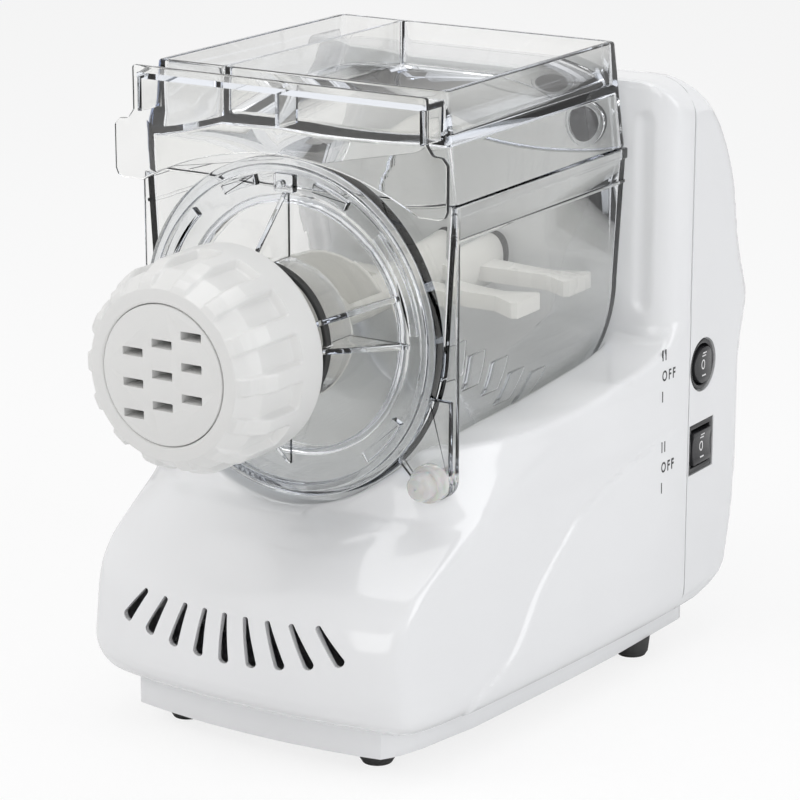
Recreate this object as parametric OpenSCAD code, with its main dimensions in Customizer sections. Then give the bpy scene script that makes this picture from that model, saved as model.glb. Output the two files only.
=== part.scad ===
// Electric pasta maker: a geared motor turns a kneading screw that presses dough
// through a die. Millimetres, +Z up, the front faces -Y, the switches are on +X.

/* [Body] */
// Reach of the housing in front of the origin
body_front = 129; // [120:1:140]
// Half width of the housing at the seam with the rear cover
body_half = 102; // [98:0.5:108]
// How much narrower each side is at the front
side_flare = 15; // [10:1:22]
// Height of the lower edge of the housing
skirt_z = 20; // [18:1:22]
// Height where the shoulders meet the tower, below the driving axis
shoulder_drop = 25; // [20:1:28]
// Wall thickness of the housing and the rear cover
wall = 3; // [2.5:0.1:3.5]
// Front face of the tower
tower_front = 80; // [78:1:84]
// Place of the seam between housing and rear cover
seam_y = 99; // [97:1:103]
// Top of the tower
tower_top = 272.5; // [268:0.5:276]
// Radius of the tower's upper edges
tower_round = 20; // [12:1:26]
// How far the lower side panel stands out past its styling line
side_step = 1.4; // [0.8:0.1:2]
// Reach of the rear cover behind the origin
cover_back = 166.5; // [160:0.5:172]
// Number of vent slots in the front
vent_count = 9; // [7:1:9]
// Length of a vent slot
vent_len = 22; // [16:1:26]

/* [Base and feet] */
// Height of a foot
foot_h = 9; // [8:1:11]
// Radius of a foot at its top
foot_r = 8.5; // [7:0.5:10]
// Front feet inside the housing's widest side
foot_front_in = 52; // [46:1:58]
// Front feet in front of the origin
foot_front_y = 85; // [78:1:88]
// Rear feet inside the housing's widest side
foot_rear_in = 22; // [20:1:28]
// Rear feet behind the origin
foot_rear_y = 89; // [84:1:94]
// Thickness of the base plate's floor
base_floor = 3.5; // [3:0.5:4]

/* [Hopper] */
// Height of the driving axis
axis_z = 183; // [180:1:186]
// Outer radius of the hopper's round bottom
hopper_r = 75; // [74:0.5:76]
// Outer half width of the hopper at its rim
rim_half = 78.5; // [77.5:0.5:80]
// Height of the hopper's rim
rim_z = 243; // [240:1:246]
// Front face of the hopper's flange, in front of the origin
hopper_front = 70; // [69:0.5:71]
// Rear face of the hopper
hopper_back = 77; // [75:0.5:78]
// Wall thickness of the clear mouldings
clear_wall = 2.5; // [2.2:0.1:2.8]
// Gap between the hopper and the saddle it lies in
saddle_gap = 1; // [0.6:0.1:1.4]
// Radius of the hopper's front opening
mouth_r = 57; // [54:0.5:58]

/* [Lid] */
// Height of the lid's upper edge
lid_top = 290; // [286:1:294]
// Half width of the lid at its upper edge
lid_half = 72.5; // [70:0.5:75]
// Depth of the filling tray, as a share of the lid's height
tray_share = 0.43; // [0.36:0.01:0.5]
// How far the pouring slot's floor falls towards the slot
pour_fall = 6; // [4:0.5:8]
// Place of the wall between the tray and the pouring slot
divider_x = 36; // [30:1:42]
// Width of the pouring slot
pour_slot_w = 9; // [7:1:12]
// Half width of the front skirt
skirt_half = 83.5; // [80:0.5:86]
// Front face of the skirt, in front of the origin
skirt_front = 84.5; // [84:0.5:88]
// Height of the skirt's arch over the driving axis
arch_rise = 75.5; // [75:0.5:77]

/* [Front panel] */
// Outer radius of the panel's rim
panel_r = 73.7; // [72:0.1:74]
// Front face of the panel's rim, in front of the origin
panel_front = 80; // [79:0.5:81]
// Outer radius of the extrusion tube
tube_r = 31; // [29:0.5:32]
// Wall thickness of the tube
tube_wall = 2.6; // [2.2:0.1:3]
// End of the tube, in front of the origin
tube_end = 153; // [150:0.5:155]
// Sideways place of the thumb screws
knob_x = 71; // [70:0.5:73]
// Thumb screws below the driving axis
knob_drop = 57; // [54:1:60]
// Radius of a thumb screw's collar
knob_r = 8.2; // [7:0.1:9]

/* [Ring and die] */
// Rear end of the retaining ring, in front of the origin
ring_back = 116.6; // [114:0.2:118]
// Front face of the retaining ring
ring_front = 166.4; // [165:0.2:168]
// Outer radius of the retaining ring
ring_r = 45; // [43:0.5:46]
// Number of grip lugs
lug_count = 14; // [12:1:16]
// Radius of the die's visible face
die_r = 29.3; // [28.5:0.1:29.5]
// Width of a slot in the die
slot_w = 10; // [8:0.5:11]
// Height of a slot in the die
slot_h = 3.6; // [3:0.2:4]

/* [Drive] */
// Radius of the drive spindle
spindle_r = 7; // [6:0.5:7.5]
// Distance across the flats of the spindle's hexagon
hex_af = 11; // [9:0.5:12]
// Radial clearance of a shaft in its bearing
running = 0.05; // [0.03:0.01:0.09]
// Teeth of the output gear
out_teeth = 50; // [48:1:52]
// Teeth of the pinion on the lay shaft
lay_pinion_teeth = 17; // [17:1:18]
// Module of the output stage
out_module = 2; // [1.95:0.01:2.05]
// Teeth of the lay gear
lay_teeth = 57; // [55:1:58]
// Teeth of the motor's pinion
motor_teeth = 15; // [15:1:16]
// Module of the motor stage
motor_module = 1.5; // [1.45:0.01:1.55]
// Width of the output stage's gears
out_face = 12; // [10:0.5:14]
// Width of the motor stage's gears
motor_face = 8; // [7:0.5:9]
// Outer radius of the motor
motor_r = 34; // [30:0.5:35]
// Length of the motor
motor_len = 64; // [56:1:70]
// Number of fan blades
blade_count = 9; // [7:1:11]

/* [Screw] */
// Radius of the screw's core
core_r = 9; // [8:0.5:10]
// Gap between the screw's flight and the tube
flight_gap = 0.6; // [0.5:0.1:1]
// Advance of the flight in one turn
flight_pitch = 32; // [28:1:40]
// Thickness of the flight
flight_t = 5; // [4:0.5:6]
// Reach of the kneading arms
arm_reach = 66; // [60:1:68]

/* [Switches] */
// Place of the switches behind the origin
switch_y = 112; // [111:0.5:114]
// Height of the round switch
round_z = 138; // [134:1:142]
// Height of the square switch
square_z = 99; // [94:1:102]
// Outer radius of the round bezel
bezel_r = 12.4; // [11:0.1:13]
// Side of the square bezel
bezel_side = 23.5; // [22:0.5:25]
// How far the switch seats lie inside the side face
seat_drop = 2.6; // [2.2:0.1:3]

/* [Cord inlet] */
// Radius of the bore for the mains lead
inlet_r = 3.6; // [3.2:0.1:4]
// Sideways place of the inlet, on the left
inlet_x = 60; // [50:1:70]
// Height of the inlet
inlet_z = 40; // [36:1:46]

/* [Hidden] */
$fn = 64;

white = [0.93, 0.93, 0.94];
clear = [0.82, 0.84, 0.82, 0.35];
black = [0.05, 0.05, 0.05];
steel = [0.7, 0.71, 0.73];
gear_white = [0.88, 0.87, 0.82];

eps = 0.01;              // overlap of unions and overrun of cuts
gap = 0.3;               // space between bodies that move apart
shoulder_z = axis_z - shoulder_drop;
base_z = foot_h;
base_top = skirt_z + 2;
saddle_r = hopper_r + saddle_gap;
floor_z = base_z + base_floor;
bore_r = tube_r - tube_wall;
plate_y = tower_front + wall + 3;
plate_t = 4;
stage_gap = 4;
out_y = plate_y + plate_t + stage_gap;
lay_y = out_y + out_face + stage_gap;
back_y = lay_y + motor_face + stage_gap;
shaft_end = back_y + plate_t + 1;
lay_z = axis_z - out_module * (out_teeth + lay_pinion_teeth) / 2;
motor_z = lay_z - motor_module * (lay_teeth + motor_teeth) / 2;
lay_r = 5;
motor_shaft_r = 4;
post_x = 60;
plate_half = 66;
plate_top = axis_z + 61;
knob_z = axis_z - knob_drop;
lid_z = rim_z + gap;
lid_h = lid_top - lid_z;
magnet_x = lid_half - 12.5;
seat_x = body_half - seat_drop;
bush_wall = 3;

// ---- outlines of the housing ----
// Each table gives a share of the height between skirt_z and shoulder_z, then the value.

// Hood line at the middle: shares of body_front when negative, of tower_front otherwise
hood_table = [[0, -0.814], [0.043, -0.907], [0.086, -0.953], [0.143, -0.984], [0.229, -1],
    [0.357, -0.977], [0.443, -0.93], [0.536, -0.822], [0.607, -0.713], [0.643, -0.651],
    [0.679, -0.636], [0.743, -0.62], [0.8, -0.574], [0.836, -0.543], [0.85, -0.341],
    [0.864, -0.062], [0.886, 0.3375], [0.921, 0.775], [0.957, 0.95], [1, 1.05]];
// Crease between hood and side, in the same shares
crease_table = [[0, -0.77], [0.057, -0.85], [0.15, -0.9], [0.25, -0.905], [0.36, -0.865], [0.45, -0.78],
    [0.529, -0.63], [0.607, -0.46], [0.679, -0.35], [0.764, -0.14], [0.829, 0.15],
    [0.886, 0.4625], [0.964, 0.8375], [1, 1]];
// Power of the hood's curve across the body
bow_table = [[0, 2.2], [0.443, 2.2], [0.529, 3], [0.607, 4.5], [0.679, 6], [1, 6]];
// Styling line on the side
step_table = [[0.064, -0.512], [0.157, -0.318], [0.343, -0.14], [0.493, 0.0875],
    [0.567, 0.35], [0.611, 0.6125], [0.648, 0.8875], [0.679, 1.1625]];
housing_levels = [0, 0.014, 0.043, 0.086, 0.143, 0.229, 0.336, 0.39, 0.443, 0.49, 0.536, 0.572, 0.607, 0.643,
    0.679, 0.743, 0.8, 0.836, 0.85, 0.864, 0.886, 0.921, 0.957, 0.98, 1];
hood_shares = [0, 0.18, 0.36, 0.53, 0.68, 0.8, 0.88, 0.95, 1];
side_shares = [0.02, 0.05, 0.1, 0.17, 0.26, 0.37, 0.5, 0.64, 0.8, 1];

function share(z) = (z - skirt_z) / (shoulder_z - skirt_z);
function place(f) = f < 0 ? f * body_front : f * tower_front;
function hood_y(z) = place(lookup(share(z), hood_table));
function crease_y(z) = place(lookup(share(z), crease_table));
corner_y = body_front - 8;
corner_round_z = 45;     // below this height the front corners draw in
skirt_round = 16;
skirt_inset = 10;
lean = 0.05;
function low(z) = pow(max(0, corner_round_z - z) / 27, 2);
function under(z) = z >= skirt_z + skirt_round ? 0
    : skirt_inset * (1 - sqrt(max(0, 1 - pow((skirt_z + skirt_round - z) / skirt_round, 2))));
function side_step_at(y, z) = share(z) > 0.7 ? side_step
    : side_step * min(1, max(0, (y - place(lookup(share(z), step_table))) / 5));
function side_x(y, z) = body_half - side_step
    - side_flare * pow((seam_y - min(y, seam_y)) / (seam_y + body_front - 41), 1.35)
    - (20 + 16 * low(z)) * exp(-(y + corner_y) / (5 + 8 * low(z)))
    - lean * max(0, z - 40) * (seam_y - min(y, seam_y)) / seam_y
    - under(z) + side_step_at(y, z);

// Right half of the housing's plan at height z, moved inwards by g
function housing_half(z, g) = let(
    zz = min(z + g, shoulder_z), f = hood_y(zz) + g / 2, c = max(crease_y(zz), f + 1),
        p = lookup(share(zz), bow_table),
    xc = side_x(c, z) - g)
    concat([for (u = hood_shares) [u * xc, f + (c - f) * pow(u, p)]],
        [for (v = side_shares) let(y = c + (seam_y + (g > 0 ? eps : 0) - c) * v) [side_x(y, z) - g, y]]);

function closed(half) = concat(half, [for (i = [len(half) - 1:-1:1]) [-half[i][0], half[i][1]]]);

// A solid through closed outlines of equal point counts at rising heights
module skin(outlines, heights) {
    n = len(outlines[0]);
    last = len(outlines) - 1;
    points = [for (k = [0:last]) for (p = outlines[k]) [p[0], p[1], heights[k]]];
    walls = [for (k = [0:last - 1]) for (i = [0:n - 1]) let(
        a = k * n + i, b = k * n + (i + 1) % n, d = a + n, c = b + n) each [[a, d, c], [a, c, b]]];
    polyhedron(points = points, faces = concat([[for (i = [0:n - 1]) i]], walls,
        [[for (i = [n - 1:-1:0]) last * n + i]]), convexity = 6);
}

module lower_body(g) {
    top = shoulder_z - g;
    bottom = g > 0 ? skirt_z - 1 : skirt_z;
    levels = g > 0 ? [for (i = [0:2:len(housing_levels) - 1]) housing_levels[i]] : housing_levels;
    heights = [for (s = levels) bottom + s * (top - bottom)];
    skin([for (z = heights) closed(housing_half(z, g))], heights);
}

// Tower: plan with a rounded front ridge, and rounded upper edges
tower_inset = 0.2;       // keeps the tower's side just inside the body's
function top_inset(z, top) = let(d = max(0, z - (top - tower_round)))
    tower_round - sqrt(max(0, pow(tower_round, 2) - d * d));
function tower_half(z, g) = let(t = top_inset(z, tower_top - g), w = body_half - tower_inset - g - t,
    f = tower_front + g + 0.3 * t)
    [[0, f], [w * 0.755, f], [w * 0.863, f + 0.6], [w * 0.922, f + 2.4], [w * 0.961, f + 6],
     [w * 0.986, f + 11.5], [w, seam_y + (g > 0 ? eps : 0)]];
round_steps = [0, 0.35, 0.6, 0.78, 0.9, 0.97, 0.995];
module tower(g) {
    top = tower_top - g;
    heights = concat([shoulder_z - 8, shoulder_z + 20, top - tower_round - 20],
        [for (s = round_steps) top - tower_round + s * tower_round]);
    skin([for (z = heights) closed(tower_half(z, g))], heights);
}

module saddle(g) {
    r = saddle_r + g;
    front = body_front + 10;
    along_y(-front, tower_front + g - eps) {
        translate([0, axis_z]) circle(r, $fn = 80);
        polygon([[-r, axis_z], [r, axis_z], [rim_half + 2 + g, rim_z], [rim_half + 2 + g, tower_top + 20],
            [-rim_half - 2 - g, tower_top + 20], [-rim_half - 2 - g, rim_z]]);
    }
}

// A drawing in X and Z, extruded from y0 to y1
module along_y(y0, y1) {
    translate([0, y1, 0]) rotate([90, 0, 0]) linear_extrude(y1 - y0) children();
}
module rod(r, y0, y1, x = 0, z = 0) {
    translate([x, y1, z]) rotate([90, 0, 0]) cylinder(r = r, h = y1 - y0);
}
module both_sides() {
    children();
    mirror([1, 0, 0]) children();
}

// ---- casing ----
// Shallow upright channel between the hopper and the tower's ridge
module ridge_channel() {
    both_sides() hull() for (z = [shoulder_z + 14, tower_top - tower_round + 2])
        translate([body_half - 16, tower_front - 4, z]) sphere(r = 6, $fn = 20);
}
// Shallow oval dish in the slope of the hood
dish_sink = 1.2;
module hood_dish() {
    z = skirt_z + 66;
    h = 9;
    translate([-5, hood_y(z) - h * sin(45), z + h * cos(45)]) rotate([45, 0, 0])
        scale([82, 40, h + dish_sink]) sphere(r = 1, $fn = 96);
}

vent_span = 54.5;        // sideways place of the outer slots' lower ends
module vent(i) {
    t = (i - (vent_count - 1) / 2) / ((vent_count - 1) / 2);
    low_z = skirt_z + 30 + 7 * t * t;
    hull() {
        rod(2.6, -body_front - 10, -body_front + 45, vent_span * t, low_z, $fn = 16);
        rod(1.3, -body_front - 10, -body_front + 45, 0.76 * vent_span * t,
            low_z + vent_len * (0.86 - 0.1 * t * t), $fn = 12);
    }
}

base_screw_places = [[body_half - 36, -66], [body_half - 28, 60]];
upper_screw = [body_half - 24, tower_top - 45];
lower_screw = [body_half - 16, skirt_z + 26];
cover_screw_places = [upper_screw, lower_screw];
screw_r = 1.9;
head_r = 3.6;
head_h = 2.4;
boss_r = 5;

module main_housing() {
    color(white) difference() {
        union() {
            difference() {
                union() {
                    lower_body(0);
                    tower(0);
                }
                saddle(0);
                difference() {
                    union() {
                        lower_body(wall);
                        tower(wall);
                        // lower end of the tower's room, open to the body
                        translate([-plate_half, plate_y - 2, skirt_z - 1])
                            cube([2 * plate_half, seam_y - plate_y + 3, shoulder_z - skirt_z]);
                    }
                    saddle(wall);
                }
            }
            intersection() {
                union() {
                    lower_body(0);
                    tower(0);
                }
                difference() {
                    both_sides() {
                        for (p = base_screw_places) translate([p[0], p[1], floor_z])
                            cylinder(r = boss_r, h = shoulder_z, $fn = 20);
                        for (p = cover_screw_places) rod(boss_r, seam_y - 17, seam_y, p[0], p[1], $fn = 20);
                        translate([lower_screw[0], seam_y - 17, lower_screw[1] - boss_r])
                            cube([body_half - 1 - lower_screw[0], 17, 2 * boss_r]);
                        rod(boss_r, tower_front + 1, plate_y, post_x, plate_top - 9, $fn = 20);
                    }
                    saddle(wall - 1);
                    translate([-body_half, -body_front, floor_z])
                        cube([2 * body_half, 2 * body_front, base_top - floor_z - 3]);
                }
            }
        }
        for (i = [0:vent_count - 1]) vent(i);
        ridge_channel();
        hood_dish();
        // room in front for the hopper's ears and the thumb screws
        along_y(-body_front - 10, -hopper_front + 3 + saddle_gap) offset(saddle_gap, $fn = 24) ears(rim_z);
        both_sides() rod(stud_r + 1.5, -body_front, -hopper_front + 9.5, knob_x, knob_z, $fn = 16);
        // seat of the shaft seal in the tower's front wall
        rod(seal_r + 0.05, tower_front - 1, tower_front + wall + 1, 0, axis_z);
        both_sides() {
            for (p = base_screw_places) translate([p[0], p[1], 0])
                cylinder(r = screw_r + 0.2, h = 44, $fn = 16);
            for (p = cover_screw_places) rod(screw_r + 0.2, seam_y - 14, seam_y + 1, p[0], p[1], $fn = 16);
        }
    }
}

// Reach of the rear cover: shares of its height, then of its depth
cover_table = [[0, 0.43], [0.016, 0.5], [0.044, 0.7], [0.1, 0.785], [0.158, 0.845], [0.27, 0.883],
    [0.42, 0.883], [0.475, 0.91], [0.515, 0.955], [0.558, 1], [0.594, 0.955], [0.626, 0.896],
    [0.681, 0.822], [0.776, 0.739], [0.871, 0.548], [0.933, 0.335], [0.97, 0.19], [1, 0.06]];
cover_levels = [0, 0.016, 0.03, 0.044, 0.07, 0.1, 0.158, 0.27, 0.42, 0.475, 0.515, 0.54, 0.558, 0.576, 0.594,
    0.626, 0.681, 0.73, 0.776, 0.825, 0.871, 0.905, 0.933, 0.955, 0.97, 0.985, 1];
cover_angles = [0, 6, 16, 28, 40, 52, 64, 76, 85, 90];
cover_power = 12;        // a high power gives flat faces with rounded corners
function cover_back_y(z) = seam_y + (cover_back - seam_y)
    * lookup((z - skirt_z) / (tower_top - skirt_z), cover_table);
function cover_w(z, g) = body_half - g - under(z) - top_inset(z, tower_top - g);
function cover_half(z, g) = let(w = cover_w(z, g),
    b = max(2, cover_back_y(min(z + g * 0.8, tower_top)) - g - seam_y), q = 2 / cover_power)
    concat([[0, seam_y - (g > 0 ? eps : 0)]],
        [for (a = cover_angles) [w * pow(cos(a), q), seam_y + b * pow(sin(a), q)]]);
function cover_loop(z, g) = let(h = cover_half(z, g), n = len(h))
    concat([for (i = [1:n - 1]) h[i]], [for (i = [n - 2:-1:1]) [-h[i][0], h[i][1]]]);
module cover_body(g) {
    top = tower_top - g;
    bottom = g > 0 ? skirt_z - 1 : skirt_z;
    heights = [for (s = cover_levels) bottom + s * (top - bottom)];
    skin([for (z = heights) cover_loop(z, g)], heights);
}

switch_r = bezel_r - 2;
switch_half = bezel_side / 2 - 2;
seat_depth = 4;
module switch_holes(grow) {
    translate([seat_x, switch_y, round_z]) rotate([0, 90, 0]) cylinder(r = bezel_r + 0.4, h = 10);
    translate([seat_x, switch_y - bezel_side / 2 - 0.4, square_z - bezel_side / 2 - 0.4])
        cube([10, bezel_side + 0.8, bezel_side + 0.8]);
    translate([seat_x - 20, switch_y, round_z]) rotate([0, 90, 0]) cylinder(r = switch_r + grow, h = 30);
    translate([seat_x - 20, switch_y - switch_half - grow, square_z - switch_half - grow])
        cube([30, 2 * (switch_half + grow), 2 * (switch_half + grow)]);
}

inlet_seat = cover_back_y(inlet_z) - 6;
module rear_cover() {
    color(white) difference() {
        union() {
            difference() {
                cover_body(0);
                difference() {
                    translate([0, -eps, 0]) cover_body(wall);
                    // walls behind the switch seats
                    translate([seat_x - seat_depth, seam_y - 1, square_z - 16])
                        cube([seat_depth + seat_drop + 1, 30, round_z - square_z + 32]);
                    rod(10, inlet_seat - 6, inlet_seat + 10, -inlet_x, inlet_z);
                    both_sides() for (p = cover_screw_places) rod(boss_r, seam_y, cover_back, p[0], p[1]);
                }
            }
        }
        switch_holes(0.2);
        rod(6.2, inlet_seat - 10, inlet_seat + 30, -inlet_x, inlet_z);
        rod(9, inlet_seat, inlet_seat + 30, -inlet_x, inlet_z);
        both_sides() for (p = cover_screw_places) {
            rod(screw_r + 0.2, seam_y - 1, cover_back + 5, p[0], p[1]);
            rod(head_r + 0.3, seam_y + 14, cover_back + 5, p[0], p[1]);
        }
    }
}

base_gap = 0.4;
base_front_half = [for (p = housing_half(skirt_z - 1, wall + base_gap)) if (p[1] < seam_y - 1) p];
module base_outline(g) {
    front = [for (p = base_front_half) [p[0] - g, max(p[1], -body_front) + g * (p[0] < 60 ? 1 : 0)]];
    back = [for (p = cover_half(skirt_z, wall + base_gap)) if (p[1] > seam_y) [max(0, p[0] - g), p[1] - g]];
    polygon(closed(concat(front, back)));
}
module base_plate() {
    color(white) difference() {
        translate([0, 0, base_z]) linear_extrude(base_top - base_z) base_outline(0);
        translate([0, 0, floor_z]) linear_extrude(base_top) base_outline(2.5);
        both_sides() for (p = base_screw_places) {
            translate([p[0], p[1], 0]) cylinder(r = screw_r + 0.2, h = 40);
            translate([p[0], p[1], base_z - 1]) cylinder(r = head_r + 0.4, h = 1 + 1);
        }
        // air slots under the motor
        for (i = [-4:4]) translate([i * 9 - 2, 10, 0]) cube([4, 50, 40]);
    }
}

module rubber_feet() {
    color(black) both_sides()
        for (p = [[body_half - foot_front_in, -foot_front_y], [body_half - foot_rear_in, foot_rear_y]])
        translate([p[0], p[1], 0]) {
            cylinder(r1 = foot_r - 2, r2 = foot_r - 0.8, h = 2);
            translate([0, 0, 2 - eps]) cylinder(r1 = foot_r - 0.8, r2 = foot_r, h = foot_h - 2 + eps);
        }
}

module base_screws() {
    color(steel) both_sides() for (p = base_screw_places) translate([p[0], p[1], base_z - head_h + 1]) {
        cylinder(r = head_r, h = head_h);
        cylinder(r = screw_r, h = 18);
    }
}

module cover_screws() {
    color(steel) both_sides() for (p = cover_screw_places) {
        rod(head_r, seam_y + 14, seam_y + 14 + head_h, p[0], p[1]);
        rod(screw_r, seam_y - 12, seam_y + 14 + eps, p[0], p[1]);
    }
}

module cord_gland() {
    color(black) difference() {
        union() {
            rod(6, inlet_seat - 9, inlet_seat + eps, -inlet_x, inlet_z);
            rod(8.5, inlet_seat, inlet_seat + 4, -inlet_x, inlet_z);
            translate([-inlet_x, inlet_seat + 4 - eps, inlet_z]) rotate([-90, 0, 0])
                cylinder(r1 = 6.5, r2 = 5.4, h = 8);
        }
        rod(inlet_r, inlet_seat - 20, inlet_seat + 20, -inlet_x, inlet_z);
    }
}

// ---- gearbox and motor ----
seal_r = 13;
bush_len = plate_t + 2;
shaft_list = [[spindle_r, axis_z], [lay_r, lay_z]];
module bush_holes() {
    for (s = shaft_list) rod(s[0] + bush_wall, plate_y - 10, back_y + 20, 0, s[1]);
}
module gearbox_plate() {
    color(steel) difference() {
        translate([-plate_half, plate_y, floor_z]) cube([2 * plate_half, plate_t, plate_top - floor_z]);
        bush_holes();
        rod(motor_shaft_r + 4, plate_y - 10, back_y, 0, motor_z);
        both_sides() rod(3, plate_y - 1, plate_y + plate_t + 1, post_x, plate_top - 9);
    }
}
module gearbox_back_plate() {
    color(steel) difference() {
        translate([-plate_half, back_y, motor_z - 20])
            cube([2 * plate_half, plate_t, plate_top - motor_z + 20]);
        bush_holes();
        rod(motor_shaft_r + bush_wall, back_y - 1, back_y + 20, 0, motor_z);
    }
}
module gearbox_posts() {
    color(steel) both_sides() for (z = [plate_top - 26, lay_z - 2, motor_z - 8])
        rod(5, plate_y + plate_t, back_y, post_x, z);
}
module bush(r, y0, y1, z) {
    difference() {
        rod(r + bush_wall, y0, y1, 0, z);
        rod(r + running, y0 - 1, y1 + 1, 0, z);
    }
}
module gearbox_bushes() {
    color("goldenrod") {
        for (s = shaft_list) {
            bush(s[0], plate_y, plate_y + bush_len, s[1]);
            bush(s[0], back_y - 2, back_y + plate_t, s[1]);
        }
        bush(motor_shaft_r, back_y - 2, back_y + plate_t, motor_z);
    }
}
module shaft_seal() {
    color(black) difference() {
        union() {
            rod(seal_r, tower_front, tower_front + wall, 0, axis_z);
            rod(spindle_r + 2.5, tower_front, plate_y - 0.5, 0, axis_z);
        }
        rod(spindle_r + running, tower_front - 1, plate_y + 1, 0, axis_z);
    }
}

motor_back = plate_y;
bell_len = 10;
rotor_r = motor_r * 0.6;
module motor_stator() {
    color([0.35, 0.36, 0.38]) difference() {
        rod(motor_r, motor_back - motor_len + bell_len, motor_back - bell_len, 0, motor_z);
        rod(rotor_r + 0.5, motor_back - motor_len, motor_back, 0, motor_z);
    }
}
module bell() {
    difference() {
        rod(motor_r, 0, bell_len, 0, 0);
        rod(motor_r - 4, 4, bell_len + 1, 0, 0);
        rod(motor_shaft_r + running, -1, bell_len + 1, 0, 0);
        for (a = [0:60:300]) rotate([0, a, 0]) rod(5, -1, 5, 20, 0);
    }
}
module motor_end_bells() {
    color(steel) {
        translate([0, motor_back - motor_len, motor_z]) bell();
        translate([0, motor_back, motor_z]) mirror([0, 1, 0]) bell();
    }
}
module motor_rotor() {
    color([0.5, 0.5, 0.52]) {
        rod(motor_shaft_r, fan_y - 2, shaft_end, 0, motor_z);
        rod(rotor_r, motor_back - motor_len + bell_len + 1, motor_back - bell_len - 1, 0, motor_z);
    }
}
fan_len = 12;
fan_y = motor_back - motor_len - fan_len - 6;
module cooling_fan() {
    color(black) translate([0, fan_y, motor_z]) difference() {
        union() {
            rod(8, 0, fan_len);
            rod(motor_r - 5, 0, 2);
            for (i = [0:blade_count - 1]) rotate([0, i * 360 / blade_count, 0]) rotate([0, 0, 12])
                translate([6, 1, -0.8]) cube([motor_r - 13, fan_len - 1, 1.6]);
        }
        rod(motor_shaft_r, -1, fan_len + 1);
    }
}

pressure = 20;
function involute(a) = tan(a) - a * PI / 180;
function flank(n, m, r, slack) = let(base = m * n / 2 * cos(pressure))
    90 / n - slack + (involute(pressure) - (r > base ? involute(acos(base / r)) : 0)) * 180 / PI;
module gear_outline(n, m, phase) {
    tip = m * n / 2 + 0.85 * m;
    root = m * n / 2 - 1.2 * m;
    base = max(m * n / 2 * cos(pressure), root + 0.2 * m);
    slack = 0.12 * 180 / PI / (m * n / 2);
    radii = [root, base, (base + 2 * tip) / 3, tip];
    polygon([for (i = [0:n - 1]) each concat(
        [for (r = radii) let(a = phase + i * 360 / n - flank(n, m, r, slack)) [r * cos(a), r * sin(a)]],
        [for (k = [3:-1:0]) let(r = radii[k], a = phase + i * 360 / n + flank(n, m, r, slack))
            [r * cos(a), r * sin(a)]])]);
}
module gear(n, m, phase, y0, width, z, bore) {
    along_y(y0, y0 + width) translate([0, z]) difference() {
        gear_outline(n, m, phase);
        circle(bore);
    }
}
module web_gear(n, m, phase, y0, width, z, bore) {
    difference() {
        gear(n, m, phase, y0, width, z, bore);
        for (side = [0, 1]) translate([0, y0 + (side == 0 ? -1 : width * 0.7), z]) rotate([-90, 0, 0])
            difference() {
                cylinder(r = m * n / 2 - 5 * m / 2, h = width * 0.3 + 1);
                translate([0, 0, -1]) cylinder(r = bore + 4, h = width + 4);
            }
    }
}
module motor_pinion() {
    color(steel) gear(motor_teeth, motor_module, 90, lay_y - 1, motor_face + 2, motor_z, motor_shaft_r);
}
module lay_gear() {
    color(gear_white) web_gear(lay_teeth, motor_module, -90 + 180 / lay_teeth,
        lay_y, motor_face, lay_z, lay_r);
}
module lay_pinion() {
    color(steel) gear(lay_pinion_teeth, out_module, 90, out_y - 1, out_face + 2, lay_z, lay_r);
}
module lay_shaft() {
    color(steel) {
        rod(lay_r, plate_y, shaft_end, 0, lay_z);
        rod(lay_r + 2, out_y + out_face + 1, lay_y, 0, lay_z);
    }
}
module output_gear() {
    color(gear_white) web_gear(out_teeth, out_module, -90 + 180 / out_teeth,
        out_y, out_face, axis_z, spindle_r);
}
hex_front = 42;
module drive_spindle() {
    color(steel) {
        rod(spindle_r, hopper_back - clear_wall - 3, shaft_end, 0, axis_z);
        translate([0, hopper_back - clear_wall - 3 + eps, axis_z]) rotate([90, 0, 0])
            cylinder(r = hex_af / 2 / cos(30), h = hopper_back - clear_wall - 3 - hex_front, $fn = 6);
        rod(spindle_r + 2, out_y + out_face, out_y + out_face + 2, 0, axis_z);
    }
}
module run_capacitor() {
    color([0.75, 0.76, 0.78]) rod(12, -40, 14, body_half - 50, floor_z + 12);
}
module reed_switch() {
    color(black) translate([magnet_x - 6, tower_front + wall + 0.2, plate_top + 1]) cube([20, 6, 8]);
}

// ---- switches ----
pivot_x = seat_x - 3.5;
rocker_top = body_half + 0.7 - pivot_x;
module round_switch_case() {
    color(black) {
        difference() {
            translate([seat_x, switch_y, round_z]) rotate([0, 90, 0])
                cylinder(r1 = bezel_r, r2 = bezel_r - 0.8, h = 2);
            translate([seat_x - 1, switch_y, round_z]) rotate([0, 90, 0])
                cylinder(r = switch_r - 0.6, h = 9);
        }
        difference() {
            translate([seat_x - 20, switch_y, round_z]) rotate([0, 90, 0])
                cylinder(r = switch_r, h = 20 + eps);
            translate([pivot_x - 3.4, switch_y, round_z]) rotate([0, 90, 0])
                cylinder(r = switch_r - 0.6, h = 20);
        }
    }
}
module square_switch_case() {
    color(black) translate([0, switch_y, square_z]) {
        difference() {
            translate([seat_x, -bezel_side / 2, -bezel_side / 2]) cube([2, bezel_side, bezel_side]);
            translate([seat_x - 1, -switch_half + 0.6, -switch_half + 0.6])
                cube([9, 2 * switch_half - 1.2, 2 * switch_half - 1.2]);
        }
        difference() {
            translate([seat_x - 20, -switch_half, -switch_half])
                cube([20 + eps, 2 * switch_half, 2 * switch_half]);
            translate([pivot_x - 3.4, -switch_half + 0.6, -switch_half + 0.6])
                cube([30, 2 * switch_half - 1.2, 2 * switch_half - 1.2]);
        }
    }
}
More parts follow.
